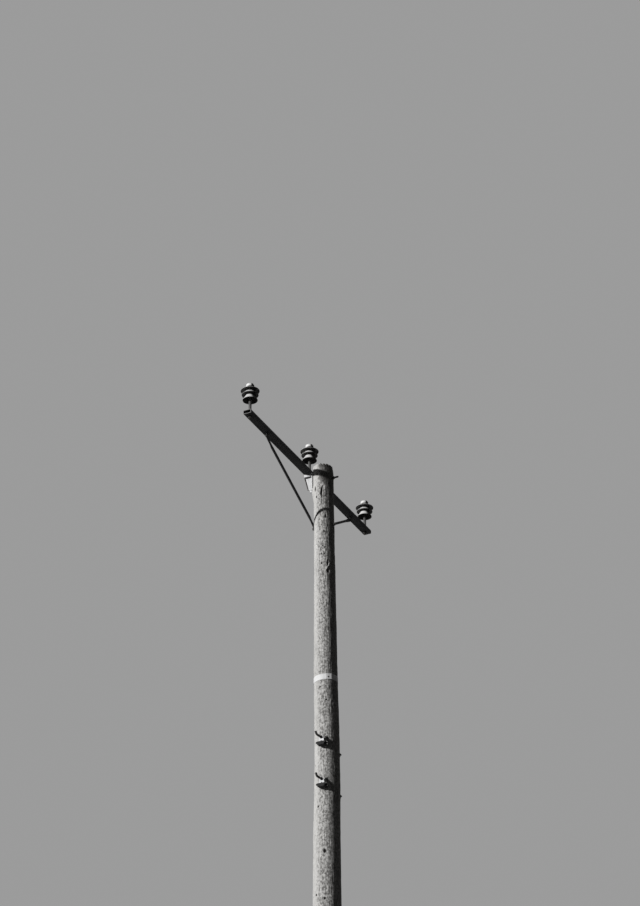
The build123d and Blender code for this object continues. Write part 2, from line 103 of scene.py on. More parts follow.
# Knots, pits and old nail holes: angle in degrees, height, half width, half height and depth
knots = (
    (16.0, 10.050, 0.013, 0.015, 0.012),
    (-5.0, 11.645, 0.007, 0.008, 0.008),
    (26.0, 11.511, 0.007, 0.008, 0.008),
    (-17.0, 10.479, 0.007, 0.009, 0.008),
    (-23.0, 9.653, 0.007, 0.009, 0.008),
    (17.0, 9.609, 0.008, 0.010, 0.008),
    (34.0, 13.418, 0.007, 0.020, 0.008),
    (-22.0, 13.638, 0.006, 0.012, 0.006),
    (17.0, 13.100, 0.006, 0.007, 0.005),
    (29.0, 13.082, 0.006, 0.006, 0.005),
    (6.0, 13.058, 0.005, 0.009, 0.004),
    (27.0, 13.010, 0.005, 0.007, 0.005),
    (10.0, 13.014, 0.004, 0.008, 0.004),
    (9.0, 12.915, 0.005, 0.010, 0.005),
    (44.0, 12.829, 0.010, 0.015, 0.012),
    (25.0, 13.252, 0.006, 0.012, 0.006),
    (-140.0, 12.200, 0.013, 0.016, 0.010),
    (120.0, 9.100, 0.012, 0.015, 0.010),
    (-75.0, 7.400, 0.014, 0.017, 0.010),
    (175.0, 6.600, 0.012, 0.015, 0.010),
    (-20.0, 4.200, 0.013, 0.016, 0.010),
    (95.0, 2.600, 0.013, 0.016, 0.010),
)

# A lip of torn wood across the scar: angle in degrees, height, half width, half height and rise,
# then how far it leans sideways for each metre up
torn_lip = (43.0, 12.880, 0.0055, 0.036, 0.009, 0.45)

# The rot at the top: how far it has eaten into the damp side, from which angles on and how far
# down, then how deep the rim is torn between its splinters and in its teeth, the angles where
# the torn side starts and ends, the dry side's share, and how far down the torn rim reaches
rot_depth = 0.010
rot_side = (0.0, 60.0)
rot_reach = 0.11
torn_depth = 0.020
tooth_depth = 0.006
tooth_waves = (74, 2, 6)
torn_side_start = (-15.0, 25.0)
torn_side_end = (150.0, 175.0)
dry_share = 0.3
torn_reach = 0.065

# The sawn end: its rings of points as shares of the rim, its roughness and its radial splits
end_shares = np.concatenate((np.linspace(0.985, 0.80, 8), np.linspace(0.74, 0.06, 11)))
end_waves = (70, 12, 5)
end_roughness = 0.0035
split_depth = 0.010
split_edge = 0.90
sunk_from = 0.20

# The stained side, darkened as painted shade away from the key lamp and as a damp stain from the
# rotted top: the angle in degrees where it begins and how strong it is, at heights from low to
# high, then how it sets in past that line, as a share and two angles for its sharp part and its
# soft one, how blotchy its edge is, and the angles where the dark lee side ends
stain_heights = (
    10.20, 10.80, 11.20, 12.20, 12.55, 13.10, 13.60, 13.737, 13.764, 13.795, 13.830, 14.0,
)
stain_edges = (44.0, 39.0, 43.0, 46.0, 43.0, 39.0, 42.0, 32.0, 25.0, 10.0, -1.0, 7.0)
stain_strengths = (0.60, 0.68, 0.64, 0.66, 0.75, 0.80, 0.85, 1.0, 1.0, 1.0, 1.0, 1.0)
stain_steps = ((0.75, -10.0, 7.0), (0.25, 16.0, 34.0))
stain_blotches = ((8.0, 30, 420, 8), (7.0, 70, 700, 9))
blotch_heights, blotch_shares = (13.0, 13.7), (0.5, 1.0)
lee_end = (125.0, 160.0)
end_stain = 0.4
scar_clean = 0.9

# Where rain mottles the wood and darkens it, growing away from the key lamp as painted shade: the
# angles over which it sets in, grows full, fades towards the back and ends behind it, and how much
# of its full part shows at heights from low to high
rain_sets_in = (-36.0, 6.0)
rain_grows_full = (12.0, 36.0)
rain_fades = (110.0, 178.0)
rain_ends = (-178.0, -140.0)
rain_at_back = 0.4
rainless_side = -120.0
mottled_heights = (12.2, 12.6, 13.2, 13.5)
mottled_shares = (1.0, 0.4, 0.4, 1.0)

# The trunk is not quite straight: how far it bows sideways at heights from low to high, and the
# direction of the bow in x and y
bow_heights = (
    8.20, 9.20, 9.53, 9.75, 10.20, 10.40, 10.60, 10.88, 11.20, 11.40, 11.55, 11.78, 12.90, 13.15,
)
bow_reaches = (
    0.0, -0.003, -0.003, 0.0, 0.0015, 0.004, 0.008, 0.010, 0.010, 0.0085, 0.0055, 0.003, 0.002, 0.0,
)
bow_across = (-0.431, 0.902)

# The wood swells beside the bracket's seat and thins again below it: how far at heights from low
# to high, and the middle and half width of the swelling in degrees
swell_heights = (13.600, 13.645, 13.670, 13.715, 13.755, 13.785, 13.940, 14.000)
swell_reaches = (0.0, 0.0075, 0.0100, 0.0175, 0.0130, 0.0060, 0.0055, 0.0050)
swell_middle = -62.0
swell_half_width = 36.0

# Where fittings lie on the pole its wood has no relief, and the relief comes back over a margin
fitting_margin = 0.012
brace_seat_half_width = 0.030
brace_seat_half_height = 0.034
bracket_seat_spare = 0.006
washer_seat_spare = 0.004
washers_behind = ("bracket_washer", "brace_washer")
hook_root_rise = 0.034
hook_root_radius = 0.014
strip_spare = 0.016


def smooth_step(low, high, value):
    """0 below low, 1 above high and 3t^2 - 2t^3 between them."""
    share = np.clip((value - low) / (high - low), 0.0, 1.0)
    return share * share * (3.0 - 2.0 * share)


def round_noise(turn, rise, columns, rows, seed):
    """Smooth noise from -1 to 1 on a surface that closes round turn = 1: random values on a
    lattice, joined by the cubic step in both directions."""
    lattice = np.random.default_rng(seed).uniform(-1.0, 1.0, (rows + 2, columns))
    across = (turn % 1.0) * columns
    up = np.clip(rise, 0.0, 1.0) * rows
    column = np.floor(across).astype(int)
    row = np.floor(up).astype(int)
    share_across = smooth_step(0.0, 1.0, across - column)
    share_up = smooth_step(0.0, 1.0, up - row)
    here = column % columns
    beside = (column + 1) % columns
    low = lattice[row, here] * (1 - share_across) + lattice[row, beside] * share_across
    high = lattice[row + 1, here] * (1 - share_across) + lattice[row + 1, beside] * share_across
    return low * (1 - share_up) + high * share_up


def put_in_scene(name, data):
    """A new object in the scene that holds a mesh, a lamp or a camera."""
    made = bpy.data.objects.new(name, data)
    bpy.context.scene.collection.objects.link(made)
    return made


def shell(name, points, wrap=False, sharp=None):
    """A mesh on a grid of points that closes round its columns. With wrap the last row joins
    the first; otherwise a fan round each end row's mean point closes the ends. Faces point
    outwards where the columns run anticlockwise about the direction of the rows. Edges that
    turn by more than the degrees given as sharp stay sharp."""
    rows, columns = points.shape[:2]
    corners = points.reshape(-1, 3)
    index = np.arange(rows * columns).reshape(rows, columns)
    beside = np.roll(index, -1, axis=1)
    if wrap:
        above = np.roll(index, -1, axis=0)
        quads = np.stack((index, beside, np.roll(beside, -1, axis=0), above), axis=-1)
        faces = quads.reshape(-1, 4).tolist()
    else:
        quads = np.stack((index[:-1], beside[:-1], beside[1:], index[1:]), axis=-1)
        first, last = len(corners), len(corners) + 1
        low_fan = np.stack((beside[0], index[0], np.full(columns, first)), axis=-1)
        high_fan = np.stack((index[-1], beside[-1], np.full(columns, last)), axis=-1)
        corners = np.vstack((corners, points[0].mean(axis=0), points[-1].mean(axis=0)))
        faces = quads.reshape(-1, 4).tolist() + low_fan.tolist() + high_fan.tolist()
    mesh = bpy.data.meshes.new(name)
    mesh.from_pydata(corners.tolist(), [], faces)
    mesh.shade_smooth()
    if sharp:
        mesh.set_sharp_from_angle(angle=math.radians(sharp))
    return put_in_scene(name, mesh)


def store(piece, label, values):
    """Keeps one value for each grid point on the mesh, and the end rows' means for the fans."""
    ends = (values[0].mean(), values[-1].mean())
    spread = np.append(values.ravel(), ends)[:len(piece.data.vertices)].astype(np.float32)
    attribute = piece.data.attributes.new(label, "FLOAT", "POINT")
    attribute.data.foreach_set("value", spread)


def bowed(height):
    """How far the trunk's middle lies off its axis in x and y at a height."""
    reach = np.interp(height, bow_heights, bow_reaches)
    return bow_across[0] * reach, bow_across[1] * reach


def turned_from(angle, place, whole=2 * math.pi):
    """The turn from a place to an angle, between minus and plus half a whole turn."""
    return (angle - place + whole / 2) % whole - whole / 2


def middle_level(node):
    """The height of the middle of a node's box."""
    low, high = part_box(node)
    return (low.z + high.z) / 2


def pole_columns():
    """The angles of the grid's columns: evenly spaced, with closer ones beside each check."""
    angles = [np.linspace(-math.pi, math.pi, plain_columns, endpoint=False)]
    spread = check_reach * np.linspace(-1.0, 1.0, check_columns)
    for place, height, *shape in checks:
        near = np.interp(height, pole_heights, pole_radii)
        angles.append(math.radians(place) + spread / near)
    angles = np.sort(turned_from(np.concatenate(angles), 0.0))
    gaps = np.diff(angles, append=angles[0] + 2 * math.pi)
    return angles[gaps > least_turn]


def pole_rows():
    """Heights from the ground to the worn rim, closer towards the top and beside each knot."""
    runs = [np.arange(low, high, step) for low, high, step in row_runs]
    for place, height, half_width, half_height, depth in knots:
        runs.append(height + half_height * np.linspace(-knot_reach, knot_reach, knot_rows))
    runs.append(np.linspace(row_runs[-1][1], pole_top - rim_wear, rim_rows))
    heights = np.sort(np.concatenate(runs))
    return heights[np.diff(heights, prepend=-1.0) > least_step]


def free_of_fittings(x, y, z):
    """1 on free wood and 0 where a fitting lies on the pole, so that the wood meets it there."""
    mask = np.ones(z.shape)
    bracket_low, bracket_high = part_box("arm_bracket")
    brace_level = middle_level("brace_washer")
    brace_span = (brace_level - brace_seat_half_height, brace_level + brace_seat_half_height)
    seats = [(-1.0, bracket_high.x, bracket_low.z, bracket_high.z)]
    seats.append((-1.0, brace_seat_half_width, *brace_span))
    for washer in washers_behind:
        low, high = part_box(washer)
        seats.append((1.0, high.x, low.z, high.z))
    for side, reach, low, high in seats:
        gap = np.maximum(np.maximum(low - z, z - high), np.abs(x) - reach)
        mask *= np.where(y * side > 0, smooth_step(0.0, fitting_margin, gap), 1.0)
    for hook in ("cable_hook_upper_right", "cable_hook_lower_right"):
        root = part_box(hook)[0].z + hook_root_rise
        mask *= smooth_step(0.0, fitting_margin, np.hypot(y, z - root) - hook_root_radius)
    strip_low, strip_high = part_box("marker_strip")
    past_strip = np.maximum(strip_low.z - z, z - strip_high.z - strip_spare)
    return mask * smooth_step(0.0, fitting_margin, past_strip)


def layered_relief(grain, rise, height):
    """The sum of depth * (1 + noise) over the layers, and the flecks. Above the ground line the
    layers' mean is taken off again, so that the trunk keeps its girth."""
    layers = sum(depth * (1 + round_noise(grain, rise, *waves)) for depth, *waves in relief_layers)
    peaks = np.clip(round_noise(grain, rise, *fleck_waves) - fleck_level, 0.0, 1.0)
    mean = sum(depth for depth, *waves in relief_layers)
    return layers + peaks * fleck_depth - mean * smooth_step(0.0, ground_fade, height)


def opened(relief, angle, height, radius):
    """The relief with checks, knots and the torn lip, how hollow each point is, and the lip. A
    check is depth * sqrt(1 - distance / width) * inside deep, and its width shrinks with inside =
    sqrt(1 - (rise / half length)^2). A knot is depth * exp(-across^2 - up^2) deep, and the lip
    stands out by exp(-across^2 - up^4)."""
    hollow = np.zeros_like(relief)
    for place, middle, half_length, half_width, depth, lean, bend in checks:
        above = height - middle
        inside = np.sqrt(np.clip(1 - (above / half_length) ** 2, 0.0, 1.0))
        line = math.radians(place) + (lean * above + bend * above * above) / radius
        away = np.abs(turned_from(angle, line))
        cut = np.clip(1 - away * radius / np.maximum(half_width * inside, 1e-6), 0.0, 1.0)
        relief = relief + np.sqrt(cut) * depth * inside
        hollow = np.maximum(hollow, np.sqrt(cut) * np.sqrt(inside))
    for place, middle, half_width, half_height, depth in knots:
        across = turned_from(angle, math.radians(place)) * radius / half_width
        pit = np.exp(-across ** 2 - ((height - middle) / half_height) ** 2)
        relief = relief + pit * depth
        hollow = np.maximum(hollow, pit)
    place, middle, half_width, half_height, rise, lean = torn_lip
    line = math.radians(place) + lean * (height - middle) / radius
    across = turned_from(angle, line) * radius / half_width
    lip = np.exp(-across ** 2 - ((height - middle) / half_height) ** 4)
    return relief - lip * rise, hollow * (1 - lip), lip


def face_seats(sides, height):
    """Cuts the sides flat where the bracket, the braces and the washers lie on the wood."""
    bracket_low, bracket_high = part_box("arm_bracket")
    on_bracket = (height > bracket_low.z - bracket_seat_spare) & (height < bracket_high.z)
    on_braces = np.abs(height - middle_level("brace_washer")) < brace_seat_half_height
    front_limit = np.where(on_bracket, bracket_high.y, -1.0)
    front_limit = np.where(on_braces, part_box("brace_right")[1].y, front_limit)
    back_limit = np.full_like(height, 1.0)
    for washer in washers_behind:
        low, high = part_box(washer)
        on_washer = (height > low.z - washer_seat_spare) & (height < high.z + washer_seat_spare)
        back_limit = np.where(on_washer, low.y, back_limit)
    sides[..., 1] = np.clip(sides[..., 1], front_limit, back_limit)


def lost_at_rim(angles):
    """How far the rim has rotted down: least on the dry side, in fine teeth, and most between the
    splinters, which stand up by share * (1 - (distance / half width)^2)^0.7."""
    degrees, turn = np.degrees(angles), angles / (2 * math.pi)
    damp_side = smooth_step(*torn_side_start, degrees)
    damp_side *= 1 - smooth_step(*torn_side_end, degrees)
    teeth = 0.5 + 0.5 * round_noise(turn, np.zeros_like(turn), *tooth_waves)
    standing = np.zeros_like(turn)
    for place, half_width, share in splinters:
        away = np.clip(1 - (turned_from(degrees, place, 360.0) / half_width) ** 2, 0.0, 1.0)
        standing = np.maximum(standing, share * away ** 0.7)
    torn = dry_share + (1 - dry_share) * damp_side
    return torn * (tooth_depth * teeth + torn_depth * (1 - standing))


def sawn_end(rim, angles, lost):
    """The end grain: the rim's outline drawn in towards the middle. Its height is the pole's top
    less the worn edge, the roughness, what the rim has lost near it, and radial splits where
    |sin(7.5 a + 2.2 sin 3a)| is small."""
    points = np.zeros((len(end_shares), len(angles), 3))
    points[..., :2] = rim[None, :, :2] * end_shares[:, None, None]
    across = np.broadcast_to(angles / (2 * math.pi), points.shape[:2])
    inward = np.broadcast_to(end_shares[:, None], across.shape)
    wear = rim_wear * smooth_step(1 - rim_share, 1.0, inward)
    rough = end_roughness * (0.5 + 0.5 * round_noise(across, inward, *end_waves))
    radial = np.abs(np.sin(7.5 * angles + 2.2 * np.sin(3 * angles)))[None, :]
    split = split_depth * smooth_step(split_edge, 1.0, 1 - radial) * np.sin(math.pi * inward)
    edge = lost[None, :] * smooth_step(sunk_from, 1.0, inward)
    points[..., 2] = pole_top - wear - rough - split - edge
    return points


def damp_rain_and_shade(degrees, height, grain, rise):
    """Two values from 0 to 1 by angle and height: the dark that runs down one side from the top
    past a blotchy edge, painted shade away from the key lamp together with a damp stain, and how
    much rain mottles and darkens the wood, growing away from the lamp as painted shade, against the
    sun that bleaches it on one side."""
    blotch = sum(turn * round_noise(grain, rise, *waves) for turn, *waves in stain_blotches)
    blotch *= np.interp(height, blotch_heights, blotch_shares)
    past_edge = degrees + blotch - np.interp(height, stain_heights, stain_edges)
    stain = sum(share * smooth_step(*turns, past_edge) for share, *turns in stain_steps)
    strength = np.interp(height, stain_heights, stain_strengths)
    stain *= strength * (1 - smooth_step(*lee_end, degrees))
    beaten = np.interp(height, mottled_heights, mottled_shares)
    full_part = beaten * smooth_step(*rain_grows_full, degrees)
    rain_and_shade_share = 0.5 * (smooth_step(*rain_sets_in, degrees) + full_part)
    rain_and_shade_share *= 1 - (1 - rain_at_back) * smooth_step(*rain_fades, degrees)
    behind = rain_at_back * (1 - smooth_step(*rain_ends, degrees))
    return stain, np.where(degrees < rainless_side, behind, rain_and_shade_share)


def weathered_pole():
    """The trunk: radius = taper - relief + swell by angle and height, where relief is the layered
    noise, the rot, the checks, the knots and the torn lip. The end grain carries the same
    columns inwards, and the rows near the rim sink with what it has lost."""
    angles, heights = pole_columns(), pole_rows()
    angle, height = np.meshgrid(angles, heights)
    degrees, rise = np.degrees(angle), height / pole_top
    taper = np.interp(height, pole_heights, pole_radii)
    sway = grain_sway * np.sin(grain_sway_rate * height)
    grain = angle / (2 * math.pi) + sway + grain_twist * height

    rot = smooth_step(*rot_side, degrees) * smooth_step(pole_top - rot_reach, pole_top, height)
    free = free_of_fittings(taper * np.cos(angle), taper * np.sin(angle), height)
    relief = (layered_relief(grain, rise, height) + rot_depth * rot) * free
    relief, hollow, lip = opened(relief, angle, height, taper)
    swell = np.interp(height, swell_heights, swell_reaches)
    beside = np.clip(np.abs(degrees - swell_middle) / swell_half_width, 0.0, 1.0)
    radius = taper - relief + swell * np.cos(beside * math.pi / 2) ** 2
    aside, behind = bowed(height)
    x, y = radius * np.cos(angle) + aside, radius * np.sin(angle) + behind
    sides = np.stack((x, y, height), axis=-1)
    face_seats(sides, height)

    lost = lost_at_rim(angles)
    near_rim = smooth_step(pole_top - torn_reach, pole_top - rim_wear, heights)
    sides[..., 2] -= lost[None, :] * near_rim[:, None]
    end = sawn_end(sides[-1], angles, lost)
    trunk = shell("weathered_pole", np.concatenate((sides, end)))

    # Both values darken the wood's colour away from the key lamp: painted shade, together with a
    # damp stain and rain mottling.
    stain, rain_and_shade_share = damp_rain_and_shade(degrees, height, grain, rise)
    stain *= 1 - scar_clean * lip
    rain_and_shade_share *= 1 - scar_clean * lip
    no_end = np.zeros(end.shape[:2])
    store(trunk, "hollow", np.concatenate((hollow, no_end)))
    store(trunk, "end_grain", np.concatenate((np.zeros_like(hollow), no_end + 1.0)))
    # The end grain takes part of the rim's painted shade and damp stain.
    damp_and_shade_end = np.broadcast_to(end_stain * stain[-1], no_end.shape)
    store(trunk, "stain", np.concatenate((stain, damp_and_shade_end)))
    store(trunk, "rain_and_shade", np.concatenate((rain_and_shade_share, no_end)))
    return trunk


def fit(tree, node, given):
    """Links each socket of a node to the socket given for it, or sets it to the value given.
    Returns the node's outputs."""
    for name, value in given.items():
        if isinstance(value, bpy.types.NodeSocket):
            tree.links.new(value, node.inputs[name])
        else:
            node.inputs[name].default_value = value
    return node.outputs


def fitted(tree, kind, given):
    """The outputs of a new node of one kind, with its sockets fitted."""
    return fit(tree, tree.nodes.new(kind), given)


def new_material(name, roughness=0.6, metallic=0.0, specular=0.5):
    """An empty material with its surface shader, as material, node tree and shader."""
    material = bpy.data.materials.new(name)
    material.use_nodes = True
    shader = material.node_tree.nodes["Principled BSDF"]
    given = {"Roughness": roughness, "Metallic": metallic, "Specular IOR Level": specular}
    fit(material.node_tree, shader, given)
    return material, material.node_tree, shader


def stretched(tree, scale=(1.0, 1.0, 1.0)):
    """Object coordinates times a scale for each axis."""
    place = tree.nodes.new("ShaderNodeTexCoord").outputs["Object"]
    return fitted(tree, "ShaderNodeMapping", {"Vector": place, "Scale": scale})["Vector"]


def position(tree):
    """Object coordinates taken apart into X, Y and Z."""
    return fitted(tree, "ShaderNodeSeparateXYZ", {"Vector": stretched(tree)})


def noise(tree, stretch, scale, detail, roughness, distortion=0.0):
    """Cloudy noise from 0 to 1 on object coordinates stretched by a scale for each axis."""
    given = {"Vector": stretched(tree, stretch), "Scale": scale, "Detail": detail,
             "Roughness": roughness, "Distortion": distortion}
    return fitted(tree, "ShaderNodeTexNoise", given)[0]


def levels(tree, value, low, high, to_low=0.0, to_high=1.0):
    """A value stretched from low..high to to_low..to_high and held there beyond them."""
    given = {"Value": value, "From Min": low, "From Max": high, "To Min": to_low, "To Max": to_high}
    return fitted(tree, "ShaderNodeMapRange", given)["Result"]


def mixed(tree, factor, first, second):
    """Two colours mixed by a factor; each colour is a socket or three numbers."""
    node = tree.nodes.new("ShaderNodeMix")
    node.data_type = "RGBA"
    first, second = ((*one, 1.0) if isinstance(one, tuple) else one for one in (first, second))
    return fit(tree, node, {0: factor, 6: first, 7: second})[2]


def covered(tree, base, colour, value, low, high, most=1.0):
    """A base colour that another one covers as a value goes from low to high, at most so far."""
    return mixed(tree, levels(tree, value, low, high, 0.0, most), base, colour)


def worked_out(tree, operation, first, second):
    """One sum of two numbers or sockets."""
    node = tree.nodes.new("ShaderNodeMath")
    node.operation = operation
    return fit(tree, node, {0: first, 1: second})[0]


def stored(tree, label):
    """A value that the mesh keeps under a label."""
    node = tree.nodes.new("ShaderNodeAttribute")
    node.attribute_name = label
    return node.outputs["Fac"]


def bumped(tree, shader, height, depth, strength=1.0):
    """Relief on the shader's normal, with its depth in metres."""
    given = {"Height": height, "Strength": strength, "Distance": depth}
    fit(tree, shader, {"Normal": fitted(tree, "ShaderNodeBump", given)["Normal"]})


def dress(piece, material):
    """Gives a piece its material."""
    piece.data.materials.clear()
    piece.data.materials.append(material)


def weathered_wood():
    """Grey wood in layers: sun-bleached and rained-on greys, darker away from the key lamp as
    painted shade, the grain, dark and scoured mottling, fibres and nicks, then the damp stain with
    painted shade on the far side, painted shade inside checks and pits beside the knots' own dark
    wood, and rings on the end grain."""
    sun_white, sun_grey = (0.66, 0.652, 0.635), (0.58, 0.572, 0.555)
    rain_and_shade_grey, grain_grey = (0.29, 0.285, 0.277), (0.33, 0.322, 0.31)
    mottle_grey, scoured_grey = (0.15, 0.146, 0.14), (0.64, 0.632, 0.615)
    fibre_grey, nick_black = (0.20, 0.195, 0.185), (0.08, 0.075, 0.07)
    damp_and_shade_black, check_shade_black = (0.040, 0.038, 0.035), (0.012, 0.011, 0.010)
    ring_dark, ring_pale = (0.16, 0.152, 0.14), (0.32, 0.305, 0.285)
    material, tree, shader = new_material("weathered_wood", 0.85, specular=0.25)
    fine_grain = noise(tree, (1.0, 1.0, 0.035), 330.0, 5.0, 0.6)
    broad_grain = noise(tree, (1.0, 1.0, 0.06), 95.0, 4.0, 0.55)
    mottle = noise(tree, (1.0, 1.0, 0.7), 60.0, 5.0, 0.62)
    patches = noise(tree, (1.0, 1.0, 0.3), 7.0, 4.0, 0.5)
    nicks = noise(tree, (1.0, 1.0, 0.5), 85.0, 2.0, 0.5, 0.8)
    rain_and_shade = stored(tree, "rain_and_shade")
    bleached = covered(tree, sun_white, sun_grey, patches, 0.35, 0.68)
    # Painted shade in part: the rain grey and the mottling below grow with the stored share away
    # from the key lamp, besides the wood's own rain wear.
    silver = covered(tree, bleached, rain_and_shade_grey, rain_and_shade, 0.0, 1.0, 0.84)
    grained = covered(tree, silver, grain_grey, broad_grain, 0.45, 0.75, 0.5)
    blotches = worked_out(tree, "MULTIPLY", levels(tree, mottle, 0.49, 0.59, 0.0, 0.92),
                          levels(tree, rain_and_shade, 0.0, 0.5, 0.16, 1.0))
    mottled = mixed(tree, blotches, grained, mottle_grey)
    scoured = worked_out(tree, "MULTIPLY", levels(tree, mottle, 0.47, 0.38, 0.0, 0.9),
                         levels(tree, rain_and_shade, 0.0, 0.5))
    cleaned = mixed(tree, scoured, mottled, scoured_grey)
    fibred = covered(tree, cleaned, fibre_grey, fine_grain, 0.48, 0.78, 0.35)
    nicked = covered(tree, fibred, nick_black, nicks, 0.66, 0.74, 0.8)
    # Painted shade: the stored stain darkens the side away from the key lamp, together with the
    # damp stain from the rotted top.
    stained = covered(tree, nicked, damp_and_shade_black, stored(tree, "stain"), 0.0, 1.0, 0.93)
    # Painted shade inside the checks and pits, darker by how hollow they are; the knots keep their
    # own darker wood there too.
    checked = covered(tree, stained, check_shade_black, stored(tree, "hollow"), 0.08, 0.42)
    rings = tree.nodes.new("ShaderNodeTexWave")
    rings.wave_type = "RINGS"
    rings.rings_direction = "Z"
    given = {"Vector": stretched(tree), "Scale": 75.0, "Distortion": 3.0, "Detail": 3.0}
    ringed = mixed(tree, fit(tree, rings, given)["Fac"], ring_dark, ring_pale)
    ended = mixed(tree, stored(tree, "end_grain"), checked, ringed)
    fit(tree, shader, {"Base Color": ended})
    fine_part = worked_out(tree, "MULTIPLY", fine_grain, 0.4)
    mottle_part = worked_out(tree, "MULTIPLY", mottle, 0.35)
    small_parts = worked_out(tree, "ADD", fine_part, mottle_part)
    bumped(tree, shader, worked_out(tree, "ADD", small_parts, broad_grain), 0.0065)
    return material


pole = weathered_pole()
dress(pole, weathered_wood())
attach(pole, "root")
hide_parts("pole")

# The arm: a rolled hollow steel section, open at both ends, painted dark and now dull, with
# the mill's streaks along it, brown rust specks, and a paler sawn rim at each open end.
arm_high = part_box("crossarm")[1]
black_paint = (0.034, 0.034, 0.035)
rim_grey = (0.30, 0.295, 0.29)
rust_dark, rust_pale = (0.07, 0.052, 0.042), (0.11, 0.082, 0.066)

# How far inside the arm's ends its paint gives way and the bare sawn rim begins
arm_rim = (0.0012, 0.0004)


def dark_steel_material(name, colour):
    """Dull dark paint on steel: specks of rust, and thin streaks along X from the mill. Returns
    the material, its tree, its shader and its colour."""
    material, tree, shader = new_material(name, 0.75, specular=0.14)
    streaks = noise(tree, (0.06, 1.0, 1.0), 160.0, 4.0, 0.6)
    clouds = noise(tree, (1.0, 1.0, 1.0), 14.0, 4.0, 0.55)
    specks = noise(tree, (1.0, 1.0, 1.0), 210.0, 3.0, 0.6)
    lighter = tuple(1.9 * part for part in colour)
    base = covered(tree, colour, lighter, clouds, 0.35, 0.7)
    streaked = covered(tree, base, lighter, streaks, 0.5, 0.75, 0.6)
    rust = covered(tree, rust_dark, rust_pale, clouds, 0.5, 0.66)
    rusty = covered(tree, streaked, rust, specks, 0.62, 0.70, 0.75)
    dullness = levels(tree, clouds, 0.3, 0.7, 0.68, 0.85)
    fit(tree, shader, {"Base Color": rusty, "Roughness": dullness})
    bumped(tree, shader, worked_out(tree, "ADD", specks, streaks), 0.0003)
    return material, tree, shader, rusty


arm_paint, tree, shader, arm_colour = dark_steel_material("arm_paint", black_paint)
from_middle = worked_out(tree, "ABSOLUTE", position(tree)["X"], 0.0)
cut_rim = levels(tree, from_middle, *(arm_high.x - inside for inside in arm_rim))
fit(tree, shader, {"Base Color": mixed(tree, cut_rim, arm_colour, rim_grey)})
dress(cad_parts["crossarm"], arm_paint)

# The bracket: seat, back plate and two tapered cheeks, cut from plate, welded and hot-dip
# galvanised, so it is pale with a cloudy spangle, with painted shade in a dark band along its
# front lips.
bracket_low, bracket_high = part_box("arm_bracket")
lip_drop = 0.031
cheek_foot_y = -0.158
cheek_slope_height = 0.137
painted_lip_shade = (0.10, 0.085, 0.075)

# How far behind the front edge the painted shade begins to thin and where it ends
lip_shade_band = (0.0035, 0.0050)


def zinc_material(name, pale, dull, metallic=0.15, specular=0.4):
    """Weathered zinc: large crystals that differ in grey, dull clouds and fine white bloom.
    Returns the material, its tree, its shader and its colour."""
    material, tree, shader = new_material(name, 0.52, metallic, specular)
    cells = fitted(tree, "ShaderNodeTexVoronoi", {"Vector": stretched(tree), "Scale": 95.0})
    crystal = fitted(tree, "ShaderNodeSeparateXYZ", {"Vector": cells["Color"]})["X"]
    clouds = noise(tree, (1.0, 1.0, 0.6), 22.0, 4.0, 0.6)
    bloom = noise(tree, (1.0, 1.0, 1.0), 260.0, 3.0, 0.6)
    spangle = covered(tree, pale, dull, crystal, 0.0, 1.0, 0.35)
    cloudy = covered(tree, spangle, dull, clouds, 0.45, 0.72, 0.8)
    white = tuple(min(1.12 * part, 0.9) for part in pale)
    bloomed = covered(tree, cloudy, white, bloom, 0.6, 0.75, 0.5)
    dullness = levels(tree, clouds, 0.3, 0.7, 0.42, 0.65)
    fit(tree, shader, {"Base Color": bloomed, "Roughness": dullness})
    bumped(tree, shader, worked_out(tree, "ADD", crystal, bloom), 0.00015)
    return material, tree, shader, bloomed


pale_zinc, dull_zinc = (0.52, 0.52, 0.52), (0.43, 0.43, 0.432)
bracket_zinc, tree, shader, zinc_colour = zinc_material("bracket_zinc", pale_zinc, dull_zinc)
place = position(tree)

# The painted shade follows the front edge, upright on the lip and then leaning in to the cheeks'
# foot
lean_in = (cheek_foot_y - bracket_low.y) / cheek_slope_height
below_lip = worked_out(tree, "SUBTRACT", bracket_high.z - lip_drop, place["Z"])
leaned_in = worked_out(tree, "MULTIPLY", worked_out(tree, "MAXIMUM", below_lip, 0.0), lean_in)
front_edge = worked_out(tree, "ADD", leaned_in, bracket_low.y)
behind_edge = worked_out(tree, "SUBTRACT", place["Y"], front_edge)
lip_shade_mask = levels(tree, behind_edge, *lip_shade_band, 0.85, 0.0)
fit(tree, shader, {"Base Color": mixed(tree, lip_shade_mask, zinc_colour, painted_lip_shade)})
dress(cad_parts["arm_bracket"], bracket_zinc)


def around(direction):
    """Two unit vectors that make a right-handed set with a direction."""
    direction = np.asarray(direction, float)
    helper = np.array((0.0, 0.0, 1.0)) if abs(direction[2]) < 0.9 else np.array((1.0, 0.0, 0.0))
    first = np.cross(helper, direction)
    first /= np.linalg.norm(first)
    return first, np.cross(direction, first)


def round_angles(columns):
    """Angles spaced evenly round one whole turn."""
    return np.linspace(0.0, 2 * math.pi, columns, endpoint=False)


def turned_points(start, direction, heights, radii):
    """Points round an axis: start + height * direction + radius * (first cos a + second sin a)."""
    first, second = around(direction)
    angle = round_angles(radii.shape[1])
    ring = np.cos(angle)[:, None] * first + np.sin(angle)[:, None] * second
    along = np.asarray(heights)[:, None, None] * np.asarray(direction, float)
    return np.asarray(start, float) + along + radii[:, :, None] * ring


